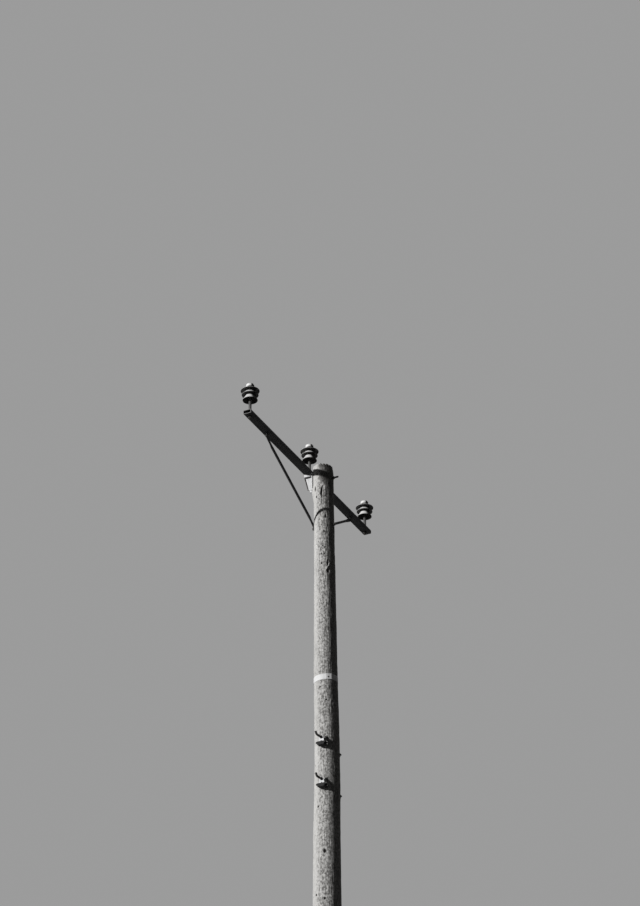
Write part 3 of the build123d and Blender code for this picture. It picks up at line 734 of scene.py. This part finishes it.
def weld_bead(name, start, end, radius):
    """A weld bead: a short round-ended bar along a line. Its radius is radius * (waist + ripple *
    |sin|) from one stroke of the electrode to the next, times the root of 1 - |2 share - 1|^24
    towards its ends."""
    start, end = np.asarray(start, float), np.asarray(end, float)
    length = np.linalg.norm(end - start)
    along = np.linspace(0.0, length, max(bead_least_rows, int(length / bead_row_step)))
    from_middle = np.abs(2 * along / length - 1)
    ends = np.sqrt(np.clip(1 - from_middle ** bead_end_power, 0.02, 1.0))
    ripple = bead_waist + bead_ripple * np.abs(np.sin(along * math.pi / bead_stroke))
    radii = np.repeat((radius * ripple * ends)[:, None], bead_columns, axis=1)
    return shell(name, turned_points(start, (end - start) / length, along, radii))


cheek_outer = 0.025
back_plate = 0.008
seat_plate = 0.006
plate_front = bracket_high.y - back_plate
seat_under = bracket_high.z - seat_plate
bead_radius = 0.0026
bead_columns = 10
bead_row_step = 0.0008
bead_least_rows = 12
bead_stroke = 0.0032
bead_waist, bead_ripple = 0.82, 0.18
bead_end_power = 24
bead_clear = 0.004
bead_above_foot = 0.014
bead_behind_lip = 0.008

# One bead runs up each cheek along the back plate, and one forwards along it under the seat
for side, label in ((1.0, "right"), (-1.0, "left")):
    cheek = side * cheek_outer
    upright = (
        (cheek, plate_front, bracket_low.z + bead_above_foot),
        (cheek, plate_front, seat_under - bead_clear),
    )
    level = (
        (cheek, plate_front - bead_clear, seat_under),
        (cheek, bracket_low.y + bead_behind_lip, seat_under),
    )
    for count, ends in enumerate((upright, level)):
        bead = weld_bead("bracket_weld_" + label + "_" + str(count), *ends, bead_radius)
        dress(bead, bracket_zinc)
        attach(bead, "root")

# The bolts and nuts: galvanised steel gone dark, each hexagon chamfered, with cut threads where
# a bolt's end stands out of its nut. They stand for the plain CAD pieces and keep their sizes.
hex_columns = 72
thread_rows = 6
thread_depth = 0.6
point_reach = 1.2
least_core = 0.3
flats_share = 3.1
head_share = 1.3
head_middle_share = 0.2
chamfer_start = 0.96
chamfer_angle = math.radians(30)
edge_cut = 0.0008
corner_cut = 0.0022
seat_row = 0.0006
bore_cut = 0.001
nut_play = 0.00015
sharp_hexagon = 32


def hex_radius(across_flats):
    """The distance from a hexagon's middle to its side at each column's angle."""
    from_flat = (round_angles(hex_columns) + math.pi / 6) % (math.pi / 3) - math.pi / 6
    return across_flats / 2 / np.cos(from_flat)


def chamfered(across_flats, distance_from_end):
    """The hexagon's side, cut by a flat cone that starts just inside the flats at the end."""
    cone = across_flats / 2 * chamfer_start + distance_from_end / math.tan(chamfer_angle)
    return np.minimum(hex_radius(across_flats), cone)


def thread_radii(radius, pitch, heights, total):
    """A V thread: radius less depth * pitch times a triangle wave that climbs one pitch a turn,
    and a 45 degree point at the far end."""
    heights = np.asarray(heights)[:, None]
    phase = (heights / pitch - round_angles(hex_columns) / (2 * math.pi)) % 1.0
    groove = thread_depth * pitch * np.abs(2 * phase - 1)
    point = np.maximum(0.0, point_reach * pitch - (total - heights))
    return np.maximum(radius - np.maximum(groove, point), radius * least_core)


def span_along(node, direction):
    """The middle of a node's box and its length along a direction."""
    low, high = (np.array(corner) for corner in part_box(node))
    return (low + high) / 2, abs(float(np.dot(high - low, direction)))


def fitted_bolt(node, radius, thread_length, pitch):
    """A hexagon bolt in the place of a CAD bolt: its head's chamfer, its shank and its thread."""
    across_flats, head = radius * flats_share, radius * head_share
    direction = np.asarray(BACKWARD, float)
    middle, reach = span_along(node, direction)
    start = middle + direction * (head - reach / 2)
    head_heights = [-head, -head, -head + edge_cut, -head + corner_cut, -seat_row, 0.0]
    head_radii = [np.full(hex_columns, across_flats * head_middle_share)]
    head_radii += [chamfered(across_flats, head + at) for at in head_heights[1:]]
    plain = reach - head - thread_length
    shank_heights = [0.0, plain * 0.5, plain]
    shank_radii = [np.full(hex_columns, radius)] * len(shank_heights)
    run = np.linspace(0.0, thread_length, int(thread_length / pitch * thread_rows))
    threads = thread_radii(radius, pitch, run, thread_length)
    heights = np.concatenate((head_heights, shank_heights, plain + run))
    radii = np.concatenate((np.array(head_radii), np.array(shank_radii), threads))
    points = turned_points(start, direction, heights, radii)
    return shell(node + "_cut", points, sharp=sharp_hexagon)


def fitted_nut(node, direction, bore_radius, across_flats):
    """A nut in the place of a CAD nut, chamfered on both faces and open for its bolt."""
    direction = np.asarray(direction, float)
    middle, height = span_along(node, direction)
    start = middle - direction * height / 2
    from_ends = (0.0, edge_cut, corner_cut)
    outer_heights = [*from_ends, height / 2, *(height - cut for cut in from_ends[::-1])]
    outer = [chamfered(across_flats, min(at, height - at)) for at in outer_heights]
    inner_heights = (height, height - bore_cut, bore_cut, 0.0)
    inner = [np.full(hex_columns, bore_radius + wider) for wider in (bore_cut, 0.0, 0.0, bore_cut)]
    heights = np.concatenate((outer_heights, inner_heights))
    points = turned_points(start, direction, heights, np.array(outer + inner))
    return shell(node + "_cut", points, wrap=True, sharp=sharp_hexagon)


def put_in_place(piece, node, material):
    """The last steps for a fitting: its material, its body and the CAD node that it stands for."""
    dress(piece, material)
    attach(piece, "root")
    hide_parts(node)


BACKWARD = (0.0, 1.0, 0.0)
DOWN = (0.0, 0.0, -1.0)
fitting_greys = ((0.075, 0.072, 0.069), (0.045, 0.042, 0.040))
fitting_zinc = zinc_material("fitting_zinc", *fitting_greys, 0.0, 0.1)[0]
for node, radius, thread_length, pitch in (
    ("bracket_bolt", 0.009, 0.085, 0.0025),
    ("brace_bolt", 0.008, 0.060, 0.0020),
    ("arm_bolt_right", 0.006, 0.024, 0.00175),
    ("arm_bolt_left", 0.006, 0.024, 0.00175),
    ("bracket_screw", 0.006, 0.060, 0.0030),
):
    bolt = fitted_bolt(node, radius, thread_length, pitch)
    put_in_place(bolt, node, fitting_zinc)
for node, radius in (
    ("bracket_nut", 0.009),
    ("brace_nut", 0.008),
    ("arm_nut_right", 0.006),
    ("arm_nut_left", 0.006),
):
    nut = fitted_nut(node, BACKWARD, radius + nut_play, radius * flats_share)
    put_in_place(nut, node, fitting_zinc)
for node in ("bracket_washer", "brace_washer"):
    dress(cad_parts[node], fitting_zinc)

# The insulator pins: forged and galvanised steel spindles that stand on the arm, threaded below
# it and held there by a washer and a nut. Dirt has gathered round their feet.
pin_foot_colour = (0.055, 0.050, 0.047)
pin_thread_radius = 0.010
pin_thread_length = 0.040
pin_thread_pitch = 0.0025
pin_head_height = 0.0863
pin_nut_flats = 0.031
sharp_pin = 35

# How high above the arm the dirt on a pin begins to thin and where it ends
dirt_top = (0.018, 0.026)

# The pin's outline as height and radius: at its collar from the arm's top, at the foot of its
# head, and at the head's end
collar_outline = (
    (-0.0005, 0.010), (0.0, 0.010), (0.0, 0.0235), (0.0006, 0.024), (0.0068, 0.024),
    (0.008, 0.0232), (0.012, 0.019), (0.017, 0.0155), (0.022, 0.014),
)
head_foot_outline = ((-0.001, 0.014), (0.0, 0.0135), (0.0, 0.013))
head_end_outline = ((-0.002, 0.013), (0.0, 0.011))

pin_greys = ((0.075, 0.074, 0.072), (0.055, 0.054, 0.052))
pin_zinc, tree, shader, pin_colour = zinc_material("pin_zinc", *pin_greys, 0.0, 1.0)
above_foot = levels(tree, position(tree)["Z"], *(arm_high.z + height for height in dirt_top))
gloss = levels(tree, above_foot, 0.0, 1.0, 0.1, 1.0)
pin_coat = mixed(tree, above_foot, pin_foot_colour, pin_colour)
fit(tree, shader, {"Base Color": pin_coat, "Specular IOR Level": gloss})


def threaded_pin(node):
    """A pin in the place of the CAD one: radius by height from the thread's end up to its head,
    with the thread's V cut over its lower part and its collar forged round at the edge."""
    low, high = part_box(node)
    start = ((low.x + high.x) / 2, (low.y + high.y) / 2, low.z)
    top = high.z - low.z
    parts = (
        (arm_high.z - low.z, collar_outline),
        (top - pin_head_height, head_foot_outline),
        (top, head_end_outline),
    )
    outline = [(base + at, radius) for base, part in parts for at, radius in part]
    rows = int(pin_thread_length / pin_thread_pitch * thread_rows)
    run = np.linspace(0.0, pin_thread_length, rows)
    up = pin_thread_length - run
    cut = thread_radii(pin_thread_radius, pin_thread_pitch, up, pin_thread_length)
    heights = np.concatenate((run, [at for at, radius in outline]))
    plain = np.repeat(np.array([radius for at, radius in outline])[:, None], hex_columns, axis=1)
    points = turned_points(start, (0.0, 0.0, 1.0), heights, np.concatenate((cut, plain)))
    return shell(node + "_cut", points, sharp=sharp_pin)


for place in ("right", "middle", "left"):
    node = "insulator_pin_" + place
    put_in_place(threaded_pin(node), node, pin_zinc)
    dress(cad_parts["pin_washer_" + place], fitting_zinc)
    node = "pin_nut_" + place
    nut = fitted_nut(node, DOWN, pin_thread_radius + nut_play, pin_nut_flats)
    put_in_place(nut, node, fitting_zinc)

# The insulators: turned porcelain with three sheds and a pale grey glaze, wet-looking where the
# rain keeps it clean, with painted shade under the sheds, in the socket and on the side away from
# the key lamp, and thin runs of dirt.
insulator_columns = 96
insulator_row_step = 0.004
least_row_step = 0.0003
groove_radius = 0.012
groove_depth = 0.009
crown_level = 0.150

# How a corner of the outline is rounded: its points, the most of a straight run that it takes,
# the least reach worth an arc, and half the angle past which two runs count as one
corner_steps = 7
most_of_run = 0.49
least_reach = 1e-5
straight_half_angle = 1.55

# The glaze's wobble, the radii over which it sets in and ends, and each insulator's seed
glaze_wobble = 0.0004
wobble_waves = (5, 9)
wobble_sets_in = (0.034, 0.040)
wobble_ends = (0.086, 0.0875)
glaze_seeds = {"right": 20, "middle": 21, "left": 22}

# Where shade is painted: below the sheds' top, on the outline's first points, which lie in the
# socket, and on the lee side from these angles in degrees on
sheds_top = 0.145
socket_points = 4
lee_start = (36.0, 54.0)
lee_painted_shade = 0.8

# Outline from the socket's top, down its wall, under the skirt and up over the sheds: radius,
# height above the foot and the radius that rounds the corner, all in metres
insulator_outline = (
    (0.0030, 0.1200, 0.0), (0.0133, 0.1200, 0.0), (0.0133, 0.0340, 0.0), (0.0253, 0.0340, 0.003),
    (0.0430, 0.0260, 0.007), (0.0650, 0.0, 0.002), (0.0710, 0.0, 0.002), (0.0710, 0.0060, 0.0025),
    (0.0430, 0.0460, 0.009), (0.0500, 0.0640, 0.004), (0.0790, 0.0550, 0.002),
    (0.0790, 0.0610, 0.0025), (0.0460, 0.0900, 0.009), (0.0530, 0.1070, 0.004),
    (0.0880, 0.0980, 0.002), (0.0880, 0.1040, 0.0025), (0.0490, 0.1230, 0.009),
    (0.0310, 0.1300, 0.006), (0.0310, 0.1400, 0.005), (0.0380, 0.1480, 0.005),
    (0.0380, 0.1700, 0.011), (0.0300, 0.1700, 0.0), (0.0200, 0.1700, 0.0), (0.0100, 0.1700, 0.0),
    (0.0030, 0.1700, 0.0),
)


def rounded_outline(corners, steps):
    """The corners joined by straight runs, each turned corner replaced by points on its arc: the
    arc touches both runs at radius * tan(turn / 2) from the corner. A corner without a radius,
    and one that hardly turns, stays as it is."""
    points = [corners[0][:2]]
    for before, corner, after in zip(corners, corners[1:], corners[2:]):
        here = np.array(corner[:2])
        back = np.array(before[:2]) - here
        ahead = np.array(after[:2]) - here
        back_length, ahead_length = np.linalg.norm(back), np.linalg.norm(ahead)
        back, ahead = back / back_length, ahead / ahead_length
        half_angle = math.acos(max(-1.0, min(1.0, float(np.dot(back, ahead))))) / 2
        reach = corner[2] / math.tan(half_angle) if corner[2] > 0 else 0.0
        reach = min(reach, most_of_run * back_length, most_of_run * ahead_length)
        if reach < least_reach or half_angle > straight_half_angle:
            points.append(tuple(here))
            continue
        radius = reach * math.tan(half_angle)
        middle = (back + ahead) / np.linalg.norm(back + ahead)
        centre = here + middle * radius / math.sin(half_angle)
        first, last = here + back * reach - centre, here + ahead * reach - centre
        sweep = math.atan2(first[0] * last[1] - first[1] * last[0], float(np.dot(first, last)))
        for share in np.linspace(0.0, 1.0, steps):
            turn = sweep * share
            spun = (first[0] * math.cos(turn) - first[1] * math.sin(turn),
                    first[0] * math.sin(turn) + first[1] * math.cos(turn))
            points.append((centre[0] + spun[0], centre[1] + spun[1]))
    points.append(corners[-1][:2])
    return np.array(points)


def glazed_insulator(node, seed):
    """The outline turned about the pin's axis, its radius wobbling by smooth noise, with the
    crown's groove pressed in: there a height is held below groove middle - sqrt(groove radius^2 -
    x^2). Painted shade lies on undersides, where the outline runs outwards, in the socket and on
    the lee side."""
    low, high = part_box(node)
    outline = rounded_outline(insulator_outline, corner_steps)
    lengths = np.linalg.norm(np.diff(outline, axis=0), axis=1)
    travelled = np.concatenate(([0.0], np.cumsum(lengths)))
    extra = np.arange(0.0, travelled[-1], insulator_row_step)
    stations = np.unique(np.round(np.concatenate((travelled, extra)), 6))
    stations = stations[np.diff(stations, prepend=-1.0) > least_row_step]
    radii = np.interp(stations, travelled, outline[:, 0])
    levels_up = np.interp(stations, travelled, outline[:, 1])
    angle = round_angles(insulator_columns)
    outside = smooth_step(*wobble_sets_in, radii) * (1 - smooth_step(*wobble_ends, radii))
    turn = np.broadcast_to(angle / (2 * math.pi), (len(radii), insulator_columns))
    rise = np.broadcast_to((stations / travelled[-1])[:, None], turn.shape)
    wobble = glaze_wobble * outside[:, None] * (round_noise(turn, rise, *wobble_waves, seed) - 1.0)
    reach = radii[:, None] + wobble
    x = reach * np.cos(angle)
    y = reach * np.sin(angle)
    z = np.broadcast_to(levels_up[:, None], x.shape).copy()
    groove_middle = (high.z - low.z) - groove_depth + groove_radius
    floor_level = groove_middle - np.sqrt(np.clip(groove_radius ** 2 - x ** 2, 0.0, None))
    crown = (levels_up > crown_level)[:, None] & (np.abs(x) < groove_radius)
    z = np.where(crown, np.minimum(z, floor_level), z)
    middle = ((low.x + high.x) / 2, (low.y + high.y) / 2, low.z)
    piece = shell(node + "_glazed", np.stack((x, y, z), axis=-1) + np.array(middle))
    # The stored share is painted shade: undersides, the socket and the lee side away from the key
    # lamp.
    under = smooth_step(-0.30, 0.35, np.gradient(radii, stations)) * (levels_up < sheds_top)
    inside = stations < travelled[socket_points]
    degrees = np.degrees(angle)
    lee_side = lee_painted_shade * smooth_step(*lee_start, degrees) * (1 - smooth_step(*lee_end, degrees))
    store(piece, "painted_shade", np.maximum(np.maximum(under, inside)[:, None], lee_side[None, :]))
    return piece


def pale_glaze():
    """Glossy pale grey with a faint film and runs of dirt, and matt black painted shade where the
    mesh keeps it.
    """
    clean_white, filmed_grey = (0.86, 0.856, 0.848), (0.78, 0.776, 0.768)
    dirt_grey, painted_shade_black = (0.36, 0.355, 0.345), (0.020, 0.019, 0.018)
    material, tree, shader = new_material("pale_glaze", 0.28)
    runs = noise(tree, (1.0, 1.0, 0.25), 60.0, 4.0, 0.6)
    film = noise(tree, (1.0, 1.0, 1.0), 15.0, 3.0, 0.5)
    clean = covered(tree, clean_white, filmed_grey, film, 0.35, 0.7)
    streaked = covered(tree, clean, dirt_grey, runs, 0.56, 0.78, 0.4)
    # Painted shade from the stored share, matt and nearly black.
    painted_shade_share = levels(tree, stored(tree, "painted_shade"), 0.0, 0.85, 0.0, 0.97)
    gloss = levels(tree, painted_shade_share, 0.0, 0.97, 0.32, 0.02)
    dullness = levels(tree, runs, 0.45, 0.75, 0.26, 0.45)
    shade_painted_glaze = mixed(tree, painted_shade_share, streaked, painted_shade_black)
    fit(tree, shader, {"Base Color": shade_painted_glaze, "Specular IOR Level": gloss, "Roughness": dullness})
    bumped(tree, shader, film, 0.0004, 0.4)
    return material


glaze = pale_glaze()
for place, seed in glaze_seeds.items():
    node = "insulator_" + place
    put_in_place(glazed_insulator(node, seed), node, glaze)

# The braces: steel tubes, their ends pressed flat and drilled, painted dark like the arm, and
# bolted to the arm's lugs and together to the pole.
brace_paint = dark_steel_material("brace_paint", black_paint)[0]
for side in ("right", "left"):
    dress(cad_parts["brace_" + side], brace_paint)

# The marker strip: soft bright aluminium, wrapped round the pole, lapped and nailed with rusty
# nails. One side has slipped up a little, and hammering has left it slightly wavy.
strip_low, strip_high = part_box("marker_strip")
strip_height = strip_high.z - strip_low.z
strip_thickness = 0.002
strip_play = 0.0003
strip_rise = 0.0045
strip_rise_turn = math.radians(25.0)
sharp_strip = 30

# The angles in degrees where the strip starts, where its lap leaves the pole in a flat and where
# it ends, and how far before the start the second layer begins to climb and is up
lap_start, lap_flat, lap_end = 26.0, 40.0, 52.0
lap_ramp = (6.0, 0.5)

# The rusty nail: how far its head's middle lies inside the nails' box in x and y, and how far
# from it the rust on the strip begins to thin and where it ends
nail_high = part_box("marker_nails")[1]
nail_head_in = (0.0035, 0.0042)
nail_rust_band = (0.0070, 0.0110)


def strip_aluminium():
    """Bright sheet with dull clouds, fine brushing round the pole, and rust bled from the nail."""
    bright, dull = (0.78, 0.78, 0.78), (0.70, 0.70, 0.705)
    brushed, bled = (0.62, 0.62, 0.62), (0.10, 0.08, 0.068)
    material, tree, shader = new_material("marker_aluminium", specular=0.2)
    waves = noise(tree, (1.0, 1.0, 1.0), 30.0, 2.0, 0.4)
    brushing = noise(tree, (1.0, 1.0, 14.0), 60.0, 3.0, 0.6)
    dulled = covered(tree, bright, dull, waves, 0.4, 0.7)
    sheet = covered(tree, dulled, brushed, brushing, 0.55, 0.8, 0.4)
    off_nail = tree.nodes.new("ShaderNodeVectorMath")
    off_nail.operation = "DISTANCE"
    nail_x, nail_y = nail_high.x - nail_head_in[0], nail_high.y - nail_head_in[1]
    nail = (nail_x, nail_y, middle_level("marker_nails"))
    distance = fit(tree, off_nail, {0: stretched(tree), 1: nail})["Value"]
    rust = levels(tree, distance, *nail_rust_band, 0.9, 0.0)
    fit(tree, shader, {"Base Color": mixed(tree, rust, sheet, bled)})
    bumped(tree, shader, waves, 0.0015, 0.5)
    return material


def wrapped_strip():
    """A ribbon once round the pole and on over its own start. Its radius is the pole's, plus
    one thickness on the lap, and the lap's end is flat: there radius = r / cos(angle - flat
    angle). One side lies higher: rise * (1 + sin(angle - rise angle))."""
    angle = np.arange(lap_start, 360.0 + lap_end + 0.01, 1.0)
    turn = np.radians(angle)
    shares = (0.985, 0.5, 0.0, -0.5, -0.985)
    outer = [(1.0, share) for share in shares]
    inner = [(0.0, -share) for share in shares]
    section = np.array(outer + [(0.5, -1.0)] + inner + [(0.5, 1.0)])
    level = middle_level("marker_strip") + strip_rise * (1 + np.sin(turn - strip_rise_turn))
    z = level[:, None] + section[None, :, 1] * strip_height / 2
    over = smooth_step(*(360.0 + lap_start - before for before in lap_ramp), angle)[:, None]
    lifted = strip_play + over * (strip_thickness + strip_play)
    layer = np.interp(z, pole_heights, pole_radii) + lifted
    flat = np.clip(angle - 360.0 - lap_flat, 0.0, None)
    reach = (layer + section[None, :, 0] * strip_thickness) / np.cos(np.radians(flat))[:, None]
    aside, behind = bowed(z)
    x, y = reach * np.cos(turn)[:, None] + aside, reach * np.sin(turn)[:, None] + behind
    return shell("marker_strip_wrapped", np.stack((x, y, z), axis=-1), sharp=sharp_strip)


put_in_place(wrapped_strip(), "marker_strip", strip_aluminium())
dress(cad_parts["marker_nails"], brace_paint)

# The cable hooks: round steel bar, bent hot and curled sideways at the end, black from the forge
# and rusty. Each is screwed into the pole's side.
forge_black = (0.026, 0.025, 0.025)
hook_steel = dark_steel_material("hook_steel", forge_black)[0]
hook_places = [level + "_" + side for level in ("upper", "lower") for side in ("right", "left")]
for place in hook_places:
    dress(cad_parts["cable_hook_" + place], hook_steel)

# The cable clamps: a cast aluminium plate with an eye, black polymer moulded round its foot as
# the upper jaw, and a black lower jaw that two studs draw up. The sun has dulled the polymer.
upper_jaw_height = 0.016

# How far above the jaw's top the black polymer ends and the bare metal begins
jaw_edge = (0.0002, 0.0012)


def clamp_material(name, jaw_top):
    """Cast aluminium above the jaw's top and black polymer below it."""
    cast_pale, cast_dull = (0.72, 0.72, 0.725), (0.56, 0.565, 0.57)
    black, dulled_black = (0.022, 0.022, 0.023), (0.040, 0.039, 0.038)
    material, tree, shader = new_material(name)
    pits = noise(tree, (1.0, 1.0, 1.0), 380.0, 3.0, 0.6)
    stain = noise(tree, (1.0, 1.0, 0.5), 40.0, 4.0, 0.6)
    cast = covered(tree, cast_pale, cast_dull, stain, 0.42, 0.72)
    polymer = covered(tree, black, dulled_black, stain, 0.35, 0.7)
    metal = levels(tree, position(tree)["Z"], *(jaw_top + edge for edge in jaw_edge))
    coat = mixed(tree, metal, polymer, cast)
    gloss = levels(tree, metal, 0.0, 1.0, 0.06, 0.4)
    fit(tree, shader, {"Base Color": coat, "Specular IOR Level": gloss})
    bumped(tree, shader, pits, 0.0003, 0.7)
    return material


for place in hook_places:
    jaw_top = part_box("cable_clamp_" + place)[0].z + upper_jaw_height
    coat = clamp_material("clamp_" + place, jaw_top)
    dress(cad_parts["cable_clamp_" + place], coat)
    dress(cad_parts["clamp_keeper_" + place], coat)

# The studio: a wide pale floor, a pale grey surround, one key lamp low at the side of the
# pole, a second lamp behind it, and the camera near the ground that looks steeply up.
floor_half = 160.0
floor_seen_grey = (0.80, 0.80, 0.79)
floor_lit_grey = (0.06, 0.06, 0.06)
surround_grey = 0.33
fill_grey = 0.024
lamp_distance = 30.0


def seen_directly(tree):
    """1 for rays that come from the camera, off a gloss or through glass, and 0 for others."""
    rays = tree.nodes.new("ShaderNodeLightPath").outputs
    camera_or_gloss = worked_out(tree, "MAXIMUM", rays["Is Camera Ray"], rays["Is Glossy Ray"])
    return worked_out(tree, "MAXIMUM", camera_or_gloss, rays["Is Transmission Ray"])


floor_mesh = bpy.data.meshes.new("floor")
floor_turns = ((-1, -1), (1, -1), (1, 1), (-1, 1))
floor_corners = [(x * floor_half, y * floor_half, 0.0) for x, y in floor_turns]
floor_mesh.from_pydata(floor_corners, [], [(0, 1, 2, 3)])
floor = put_in_scene("floor", floor_mesh)
floor_paint, tree, shader = new_material("floor_paint", 0.9, specular=0.1)
floor_colour = mixed(tree, seen_directly(tree), floor_lit_grey, floor_seen_grey)
fit(tree, shader, {"Base Color": floor_colour})
floor.data.materials.append(floor_paint)

world = bpy.data.worlds.new("surround")
bpy.context.scene.world = world
world.use_nodes = True
tree = world.node_tree
seen = fit(tree, tree.nodes["Background"], {"Color": (*[surround_grey] * 3, 1.0)})[0]
lighting = fitted(tree, "ShaderNodeBackground", {"Color": (*[fill_grey] * 3, 1.0)})[0]
either = fitted(tree, "ShaderNodeMixShader", {0: seen_directly(tree), 1: lighting, 2: seen})[0]
fit(tree, tree.nodes["World Output"], {"Surface": either})


def toward(azimuth, elevation):
    """The unit vector towards an azimuth and an elevation in radians."""
    level = math.cos(elevation)
    return np.array((level * math.cos(azimuth), level * math.sin(azimuth), math.sin(elevation)))


def aimed(forward, roll):
    """The axes of a lamp or camera that looks along forward, rolled by an angle."""
    forward = np.asarray(forward, float) / np.linalg.norm(forward)
    right = np.cross(forward, (0.0, 0.0, 1.0))
    right /= np.linalg.norm(right)
    up = np.cross(right, forward)
    rolled_right = right * math.cos(roll) - up * math.sin(roll)
    rolled_up = up * math.cos(roll) + right * math.sin(roll)
    return np.column_stack((rolled_right, rolled_up, -forward))


def put_at(made, axes, spot):
    """Puts a lamp or the camera at a spot, turned so that its axes are the ones given."""
    place = np.eye(4)
    place[:3, :3] = axes
    place[:3, 3] = spot
    made.matrix_world = Matrix(place.tolist())


def lamp(name, azimuth, elevation, energy, softness, glints):
    """A lamp so far off that its light is parallel, from an azimuth and an elevation in degrees,
    with the angle in degrees that it spreads over and whether it shows in glossy surfaces."""
    outward = toward(math.radians(azimuth), math.radians(elevation))
    data = bpy.data.lights.new(name, "SUN")
    data.energy = energy
    data.angle = math.radians(softness)
    made = put_in_scene(name, data)
    put_at(made, aimed(-outward, 0.0), outward * lamp_distance)
    made.visible_glossy = glints


lamp("key_lamp", azimuth=-32.0, elevation=13.0, energy=3.6, softness=2.0, glints=True)
lamp("back_lamp", azimuth=214.0, elevation=30.0, energy=2.6, softness=15.0, glints=False)

camera_distance = 22.146
camera_height = 1.324
camera_azimuth = math.radians(25.554)
camera_yaw = 0.001522
camera_pitch = math.radians(30.086)
camera_roll = math.radians(0.442)
focal_pixels = 2668.8
picture_height = 906.0

camera_data = bpy.data.cameras.new("camera")
camera_data.sensor_width = 36.0
camera_data.lens = focal_pixels / picture_height * camera_data.sensor_width
camera_data.clip_end = 500.0
camera = put_in_scene("camera", camera_data)
camera_spot = (camera_distance * math.cos(camera_azimuth),
               camera_distance * math.sin(camera_azimuth), camera_height)
heading = camera_azimuth + math.pi + camera_yaw
put_at(camera, aimed(toward(heading, camera_pitch), camera_roll), camera_spot)
bpy.context.scene.camera = camera
bpy.context.scene.view_settings.view_transform = "Standard"
